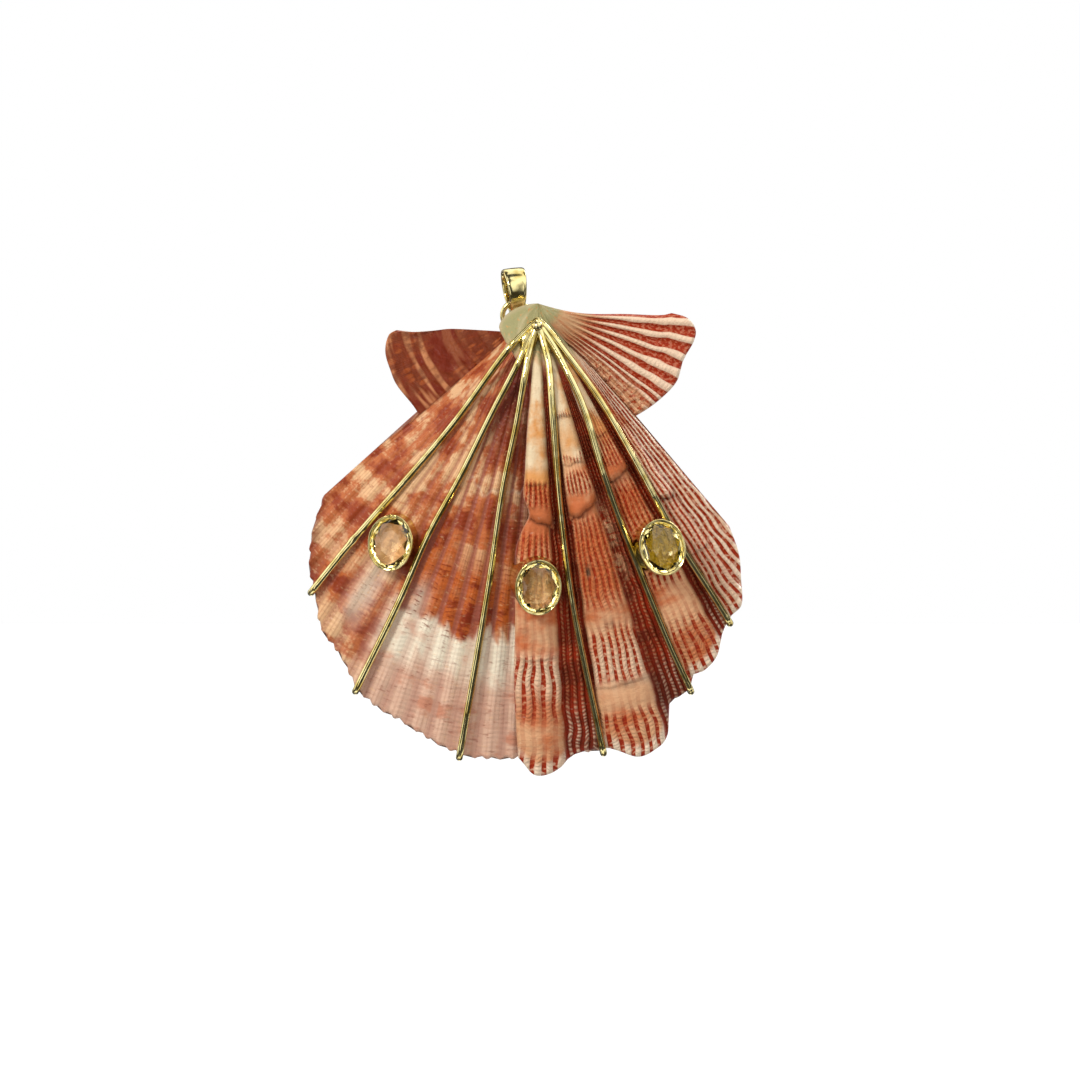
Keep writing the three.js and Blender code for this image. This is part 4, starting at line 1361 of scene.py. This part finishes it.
@dataclass
class ApexWeb:
    """The filled web of gold where the wires meet, with the ball-headed pin through it."""

    ground: Ground
    gold: bpy.types.Material
    apex: tuple[float, float] = (4.55, -8.7)
    thick: float = 1.25
    ball: float = 1.05
    pin_at: tuple[float, float] = (4.6, -9.05)
    shank: float = 0.6
    foot: float = 1.2

    def build(self) -> None:
        """Makes the web and the pin."""
        reach = smooth_curve([
            (-180, 1.0), (-110, 1.1), (-70, 2.2), (-50, 5.0), (-42, 5.0), (-30, 6.8), (-20, 7.4), (-11, 6.0),
            (-2, 3.7), (7, 3.2), (15, 4.3), (26, 6.1), (36, 6.4), (44, 5.0), (52, 4.6), (70, 2.2), (110, 1.1),
            (180, 1.0),
        ])
        turns = np.linspace(-180, 180, 97)
        shares = np.linspace(0, 1, 14)
        turn, share = np.meshgrid(turns, shares)
        r = reach(turn) * share
        x = self.apex[0] + r * np.sin(np.radians(turn))
        z = self.apex[1] - r * np.cos(np.radians(turn))
        base = self.ground.lift(x, z)
        crown = base + self.thick * np.sqrt(np.clip(1.02 - share**4, 0, 1)) + 0.1
        points = np.concatenate([place(x, z, crown).reshape(-1, 3), place(x, z, base - 0.2).reshape(-1, 3)])
        rows, columns = turn.shape
        faces = grid_faces(rows, columns, 0, False) + grid_faces(rows, columns, rows * columns, True)
        last = (rows - 1) * columns
        for j in range(columns - 1):
            a, b = last + j, last + j + 1
            faces.append((b, a, a + rows * columns, b + rows * columns))
        obj = mesh_object("web", points, faces)
        close_up(obj, 1e-6)
        dress(obj, self.gold, "gold", PENDANT, "apex_plate")
        self.pin()

    def pin(self) -> None:
        """Makes the rivet: ball, shank and the foot soldered to the ring."""
        x, z = self.pin_at
        centre = float(self.ground.lift(x, z)) + self.thick + self.ball * 0.9
        arc = np.linspace(0, math.pi - math.asin(self.shank / self.ball), 14)
        profile = [(self.ball * math.sin(t), centre + self.ball * math.cos(t)) for t in arc]
        foot_end, foot_top = RING_LIFT - 0.5, RING_LIFT + 0.4
        profile += [(self.shank, foot_top + 0.15), (self.shank + 0.12, foot_top), (self.foot - 0.1, foot_top)]
        profile += [(self.foot, foot_top - 0.1), (self.foot, foot_end + 0.12), (self.foot - 0.12, foot_end)]
        profile += [(0.0, foot_end)]
        obj = lathe("ball_pin", profile, 40)
        base = place(np.array(x), np.array(z), np.array(0.0))
        obj.data.transform(Matrix.Translation(Vector(base)) @ Matrix.Rotation(math.pi / 2, 4, "X"))
        dress(obj, self.gold, "gold", PENDANT, "pin")


def lathe(name: str, profile: list[tuple[float, float]], count: int) -> bpy.types.Object:
    """Turns a profile of (radius, height) millimetres about the Z axis, closed at both ends."""
    turns = np.linspace(0, 2 * math.pi, count, endpoint=False)
    points, faces = [], []
    for radius, height in profile:
        points += [(radius * math.cos(t) * MM, radius * math.sin(t) * MM, height * MM) for t in turns]
    for i in range(len(profile) - 1):
        for k in range(count):
            a, b = i * count + k, i * count + (k + 1) % count
            faces.append((a, b, b + count, a + count))
    obj = mesh_object(name, np.array(points), faces)
    close_up(obj, 1e-6)
    return obj


@dataclass
class StoneSetting:
    """An oval citrine in its hammered gold bezel, standing square on the shell."""

    number: int
    x: float
    z: float
    turn: float
    ground: Ground
    gold: bpy.types.Material
    citrine: bpy.types.Material
    raised: float = 0.0
    upright: float = 0.0
    half_width: float = 4.6
    half_length: float = 5.6
    height: float = 3.1
    seat: float = 2.0

    def frame(self) -> Matrix:
        """The setting's own frame: Z out of the shell, Y down its length, in metres."""
        reach = 3.5

        def here(dx: float, dz: float) -> Vector:
            """A point on the shell near the middle."""
            return Vector(place(self.x + dx, self.z + dz, self.ground.lift(self.x + dx, self.z + dz)))

        across = (here(reach, 0) - here(-reach, 0)).normalized()
        down = here(0, -reach) - here(0, reach)
        out = across.cross(down).normalized()
        if out.y > 0:
            out.negate()
        out = out.lerp(Vector((0, -1, 0)), self.upright).normalized()
        across = (across - out * across.dot(out)).normalized()
        up = out.cross(across).normalized()
        if up.z < 0:
            up.negate()
        across = up.cross(out).normalized()
        centre = here(0, 0)
        stand = 0.0
        for k in range(24):
            angle = 2 * math.pi * k / 24
            rim = here(self.half_width * math.cos(angle), self.half_length * math.sin(angle))
            stand = max(stand, (rim - centre).dot(out))
        base = Matrix((across, up, out)).transposed().to_4x4()
        centre += out * (stand + (self.raised + 0.1) * MM)
        return Matrix.Translation(centre) @ base @ Matrix.Rotation(math.radians(self.turn), 4, "Z")

    def build(self) -> None:
        """Makes the bezel and the stone."""
        where = self.frame()
        self.bezel(where)
        self.stone(where)

    def bezel(self, where: Matrix) -> None:
        """Makes the cup: a wall down to the shell, a ledge and a hammered lip."""
        count = 112
        w, h = self.half_width, self.height
        outer = [(w + 0.12, -0.4), (w + 0.1, 0.05), (w - 0.04, 0.3), (w - 0.04, h - 0.75),
                 (w + 0.03, h - 0.45),
                 (w, h - 0.16), (w - 0.08, h - 0.03), (w - 0.17, h - 0.05), (w - 0.24, h - 0.2),
                 (w - 0.3, h - 0.17), (w - 0.38, h - 0.22), (w - 0.44, h - 0.42)]
        inner = [(w - 0.47, self.seat + 0.45), (w - 0.4, self.seat + 0.1), (w - 0.55, self.seat - 0.3),
                 (w - 0.95, self.seat - 0.55), (w - 1.1, self.seat - 1.3), (w - 1.05, -0.2)]
        rng = np.random.default_rng(self.number)
        turns = np.linspace(0, 2 * math.pi, count, endpoint=False)
        waves = sum(
            rng.uniform(0.3, 1) * np.sin(n * turns + rng.uniform(0, 6.3)) / 3 for n in (5, 9, 14, 21)
        )
        points, faces = [], []
        profile = outer + inner
        stretch = self.half_length / self.half_width
        for i, (radius, height) in enumerate(profile):
            hammered = 0.07 * waves if 4 <= i <= 12 else 0 * waves
            radial = radius + hammered * (0.6 if i < 9 else -0.6)
            local = np.stack([
                radial * np.cos(turns), radial * stretch * np.sin(turns), height + hammered * 0.8,
            ], axis=1) * MM
            points.append(np.array([where @ Vector(p) for p in local]))
        out = np.array(where.to_3x3() @ Vector((0, 0, 1)))
        total = len(profile)
        for i, above in ((0, -0.3), (1, 0.15), (total - 1, -0.3)):
            points[i] = self.to_shell(points[i], out, above)
        for i in range(total):
            for k in range(count):
                a, b = i * count + k, i * count + (k + 1) % count
                c, d = ((i + 1) % total) * count + (k + 1) % count, ((i + 1) % total) * count + k
                faces.append((a, b, c, d))
        obj = mesh_object(f"stone_cup_{self.number}", np.concatenate(points), faces)
        close_up(obj)
        dress(obj, self.gold, "gold", PENDANT, f"bezel_{self.number}")

    def to_shell(self, points: Array, out: Array, above: float) -> Array:
        """Slides points in or out until they stand a number of millimetres above the shell.

        Args:
            points: Places in metres.
            out: The way out of the shell.
            above: Height wanted, in millimetres.

        Returns:
            The moved places.
        """
        for _ in range(12):
            x, z = points[:, 0] / MM, points[:, 2] / MM
            gap = place(x, z, self.ground.lift(x, z))[:, 1] - points[:, 1]
            points = points - np.outer((gap - above * MM) * 0.6, out)
        return points

    def stone(self, where: Matrix) -> None:
        """Cuts an oval brilliant: table, star, main and girdle facets over a shallow pavilion."""
        w, l = self.half_width - 0.46, self.half_length - 0.46
        rings = [
            (8, 0.0, 0.5, 1.1), (8, 0.5, 0.76, 0.78), (16, 0.25, 1.0, 0.14), (16, 0.25, 1.0, -0.02),
            (16, 0.25, 0.87, -0.62), (8, 0.5, 0.7, -1.2), (8, 0.0, 0.4, -1.6),
        ]
        work = bmesh.new()
        for count, shift, share, height in rings:
            for k in range(count):
                angle = 2 * math.pi * (k + (shift if count == 8 else 0)) / count
                spot = Vector((share * w * math.cos(angle), share * l * math.sin(angle), height + self.seat))
                work.verts.new(where @ (spot * MM))
        work.verts.new(where @ (Vector((0, 0, self.seat - 1.84)) * MM))
        bmesh.ops.convex_hull(work, input=work.verts)
        bmesh.ops.dissolve_limit(work, angle_limit=0.02, verts=work.verts, edges=work.edges)
        bmesh.ops.recalc_face_normals(work, faces=work.faces)
        mesh = bpy.data.meshes.new(f"citrine_oval_{self.number}")
        work.to_mesh(mesh)
        work.free()
        obj = bpy.data.objects.new(mesh.name, mesh)
        bpy.context.collection.objects.link(obj)
        obj.visible_shadow = False
        dress(obj, self.citrine, "citrine", PENDANT, f"citrine_{self.number}")


@dataclass
class Hanger:
    """The jump ring and the strap bail."""

    gold: bpy.types.Material
    ring_x: float = 0.4
    ring_z: float = -6.8
    ring_radius: float = 2.65
    ring_wire: float = 0.52
    top: float = 3.3
    bottom: float = 1.5
    top_z: float = -1.45
    thick: float = 0.65
    width_top: float = 4.3
    width_bottom: float = 2.9
    yaw: float = 8.7
    roll: float = 6.0

    def build(self) -> None:
        """Makes the ring and the bail."""
        self.ring()
        self.bail()

    def ring(self) -> None:
        """Bends the ring's wire to a closed loop, with a soldered joint at its foot."""
        turns = np.linspace(0, 2 * math.pi, 96, endpoint=False)
        sides = np.linspace(0, 2 * math.pi, 20, endpoint=False)
        turn, side = np.meshgrid(turns, sides, indexing="ij")
        swell = self.ring_wire * (1 + 0.16 * np.exp(-(((turn - 5.76) / 0.16) ** 2)))
        out = self.ring_radius + swell * np.cos(side)
        x, z = self.ring_x + out * np.cos(turn), self.ring_z + out * np.sin(turn)
        points = place(x, z, RING_LIFT + swell * np.sin(side))
        faces = []
        for i in range(96):
            for k in range(20):
                a, b = i * 20 + k, i * 20 + (k + 1) % 20
                c, d = ((i + 1) % 96) * 20 + (k + 1) % 20, ((i + 1) % 96) * 20 + k
                faces.append((a, b, c, d))
        obj = mesh_object("jump_ring", points, faces)
        close_up(obj)
        dress(obj, self.gold, "gold", PENDANT, "ring")

    def bail(self) -> None:
        """Bends a softly domed strap round a wide circle above and a small one below."""
        height = self.top_z - HINGE_Z
        swap = math.pi / 2 + math.asin((self.top - self.bottom) / height)
        turns = np.concatenate([np.linspace(-swap, swap, 64), np.linspace(swap, 2 * math.pi - swap, 26)])
        section = self.section()
        rings = []
        for i, turn in enumerate(turns):
            upper = i < 64
            ring = []
            for across, through in section:
                radius = (self.top if upper else self.bottom) + through * self.thick
                z = (height if upper else 0) + radius * math.cos(turn)
                share = min(max((z + self.bottom) / (height + self.top + self.bottom), 0), 1)
                width = self.width_bottom + (self.width_top - self.width_bottom) * share
                ring.append((across * width * MM, radius * math.sin(turn) * MM, z * MM))
            rings.append(ring)
        count, sides = len(rings), len(section)
        faces = []
        for i in range(count):
            for k in range(sides):
                a, b = i * sides + k, i * sides + (k + 1) % sides
                c, d = ((i + 1) % count) * sides + (k + 1) % sides, ((i + 1) % count) * sides + k
                faces.append((a, b, c, d))
        obj = mesh_object("strap_bail", np.array(rings), faces)
        yaw = Matrix.Rotation(math.radians(self.yaw), 4, "Z")
        roll = Matrix.Rotation(math.radians(-self.roll), 4, "Y")
        move = Matrix.Translation((HINGE_X * MM, 0, HINGE_Z * MM))
        obj.data.transform(move @ yaw @ roll)
        close_up(obj)
        dress(obj, self.gold, "gold", "bail", "bail")

    def section(self) -> list[tuple[float, float]]:
        """The strap's section: width share and depth share, rounded and slightly domed."""
        points = [(-0.5, 0.3), (-0.5, 0.7), (-0.47, 0.9)]
        points += [(t, 1.0 + 0.16 * (1 - (2 * t) ** 2)) for t in np.linspace(-0.4, 0.4, 7)]
        points += [(0.47, 0.9), (0.5, 0.7), (0.5, 0.3), (0.47, 0.08)]
        return points + [(t, 0.0) for t in (0.4, 0.13, -0.13, -0.4)] + [(-0.47, 0.08)]


@dataclass
class Studio:
    """Floor, lights and camera."""

    view_width: float = 0.2126
    distance: float = 2.0
    look_x: float = 0.0051
    look_z: float = -0.0510
    floor_drop: float = 0.12
    sky_low: float = 0.72
    sky_high: float = 1.4
    room_dark: float = 0.06
    room_light: float = 1.7
    glint_dark: float = 0.25
    glint_light: float = 4.5

    def build(self) -> None:
        """Sets up the pale floor, the soft lights and the camera."""
        self.floor()
        self.world()
        middle = Vector((self.look_x, 0, self.look_z))
        self.light("key", middle + Vector((-0.95, -1.3, 0.75)), middle, 0.35, 17.0)
        self.light("back", middle + Vector((0.9, 1.3, 0.8)), middle, 0.5, 13.0)
        self.camera()

    def floor(self) -> None:
        """Lays a wide pale disc under the pendant."""
        bpy.ops.mesh.primitive_circle_add(
            vertices=128, radius=30.0, fill_type="NGON",
            location=(self.look_x, 0, CAD_BOX[0][2] - self.floor_drop),
        )
        floor = bpy.context.object
        floor.name = "floor"
        graph = Graph("pale floor")
        dust = graph.noise(graph.place(), 6, 2)
        tone = graph.mix(dust, (0.95, 0.95, 0.95), (0.92, 0.92, 0.92))
        floor.data.materials.append(graph.finish(Base_Color=tone, Roughness=0.9))
        floor.visible_diffuse = False
        floor.visible_glossy = False

    def world(self) -> None:
        """Surrounds the scene with soft light from above; polished metal mirrors a room of light and dark."""
        world = bpy.data.worlds.new("studio")
        bpy.context.scene.world = world
        world.use_nodes = True
        tree = world.node_tree
        white = tree.nodes["Background"]
        white.inputs["Color"].default_value = (1, 1, 1, 1)
        way = tree.nodes.new("ShaderNodeTexCoord").outputs["Generated"]
        split = tree.nodes.new("ShaderNodeSeparateXYZ")
        tree.links.new(way, split.inputs[0])
        soft = self.sky(tree, split.outputs["Z"], -0.1, 1.0, self.sky_low, self.sky_high)
        patches = tree.nodes.new("ShaderNodeTexNoise")
        patches.inputs["Scale"].default_value = 2.3
        patches.inputs["Detail"].default_value = 0.5
        stretch = tree.nodes.new("ShaderNodeMapping")
        stretch.inputs["Scale"].default_value = (1.0, 1.0, 0.35)
        tree.links.new(way, stretch.inputs["Vector"])
        tree.links.new(stretch.outputs[0], patches.inputs["Vector"])
        room = self.sky(tree, patches.outputs[0], 0.44, 0.6, self.room_dark, self.room_light)
        spots = tree.nodes.new("ShaderNodeTexNoise")
        spots.inputs["Scale"].default_value = 5.0
        spots.inputs["Detail"].default_value = 0.0
        tree.links.new(way, spots.inputs["Vector"])
        glints = self.sky(tree, spots.outputs[0], 0.4, 0.62, self.glint_dark, self.glint_light)
        rays = tree.nodes.new("ShaderNodeLightPath")
        below = soft
        by_kind = (("Is Glossy Ray", room), ("Is Transmission Ray", glints), ("Is Camera Ray", white))
        for kind, above in by_kind:
            choose = tree.nodes.new("ShaderNodeMixShader")
            tree.links.new(rays.outputs[kind], choose.inputs[0])
            tree.links.new(below.outputs[0], choose.inputs[1])
            tree.links.new(above.outputs[0], choose.inputs[2])
            below = choose
        tree.links.new(below.outputs[0], tree.nodes["World Output"].inputs["Surface"])

    def sky(
        self, tree: bpy.types.NodeTree, value: Socket, low: float, high: float, dark: float, light: float
    ) -> bpy.types.Node:
        """Makes a grey background whose strength follows a value.

        Args:
            tree: The world's nodes.
            value: What the strength follows.
            low: The value at which it is dark.
            high: The value at which it is light.
            dark: Strength at low.
            light: Strength at high.

        Returns:
            The background node.
        """
        spread = tree.nodes.new("ShaderNodeMapRange")
        spread.interpolation_type = "SMOOTHSTEP"
        tree.links.new(value, spread.inputs[0])
        for i, number in enumerate((low, high, dark, light), start=1):
            spread.inputs[i].default_value = number
        background = tree.nodes.new("ShaderNodeBackground")
        background.inputs["Color"].default_value = (1, 1, 1, 1)
        tree.links.new(spread.outputs[0], background.inputs["Strength"])
        return background

    def light(self, name: str, at: Vector, towards: Vector, size: float, power: float) -> None:
        """Hangs one square soft light, aimed at a point."""
        data = bpy.data.lights.new(name, "AREA")
        data.size = size
        data.energy = power
        lamp = bpy.data.objects.new(name, data)
        lamp.location = at
        lamp.rotation_euler = (towards - at).to_track_quat("-Z", "Y").to_euler()
        bpy.context.collection.objects.link(lamp)

    def camera(self) -> None:
        """Looks straight at the face along +Y."""
        data = bpy.data.cameras.new("camera")
        data.sensor_width = 36
        data.lens = data.sensor_width * self.distance / self.view_width
        data.clip_end = 20
        camera = bpy.data.objects.new("camera", data)
        camera.location = (self.look_x, -self.distance, self.look_z)
        camera.rotation_euler = (math.pi / 2, 0, 0)
        bpy.context.collection.objects.link(camera)
        bpy.context.scene.camera = camera
        bpy.context.scene.view_settings.view_transform = "Standard"


def main() -> None:
    """Builds every piece in order."""
    Studio().build()
    gold = GoldFinish().material("polished gold")
    citrine = CitrineFinish().material("citrine")
    ribbed, mottled = RibbedValve(), MottledValve()
    dress(ribbed.build(), RibbedFinish().material("coral shell"), "right_shell", PENDANT, ribbed.node)
    dress(mottled.build(), MottledFinish().material("mottled shell"), "left_shell", PENDANT, mottled.node)
    ground = Ground(ribbed, mottled)
    WireFan(ground, gold).build()
    ApexWeb(ground, gold).build()
    for number, (x, z, turn, raised, upright, _) in enumerate(SETTINGS, start=1):
        StoneSetting(number, x, z, turn, ground, gold, citrine, raised, upright).build()
    Hanger(gold).build()


if __name__ == "__main__":
    main()
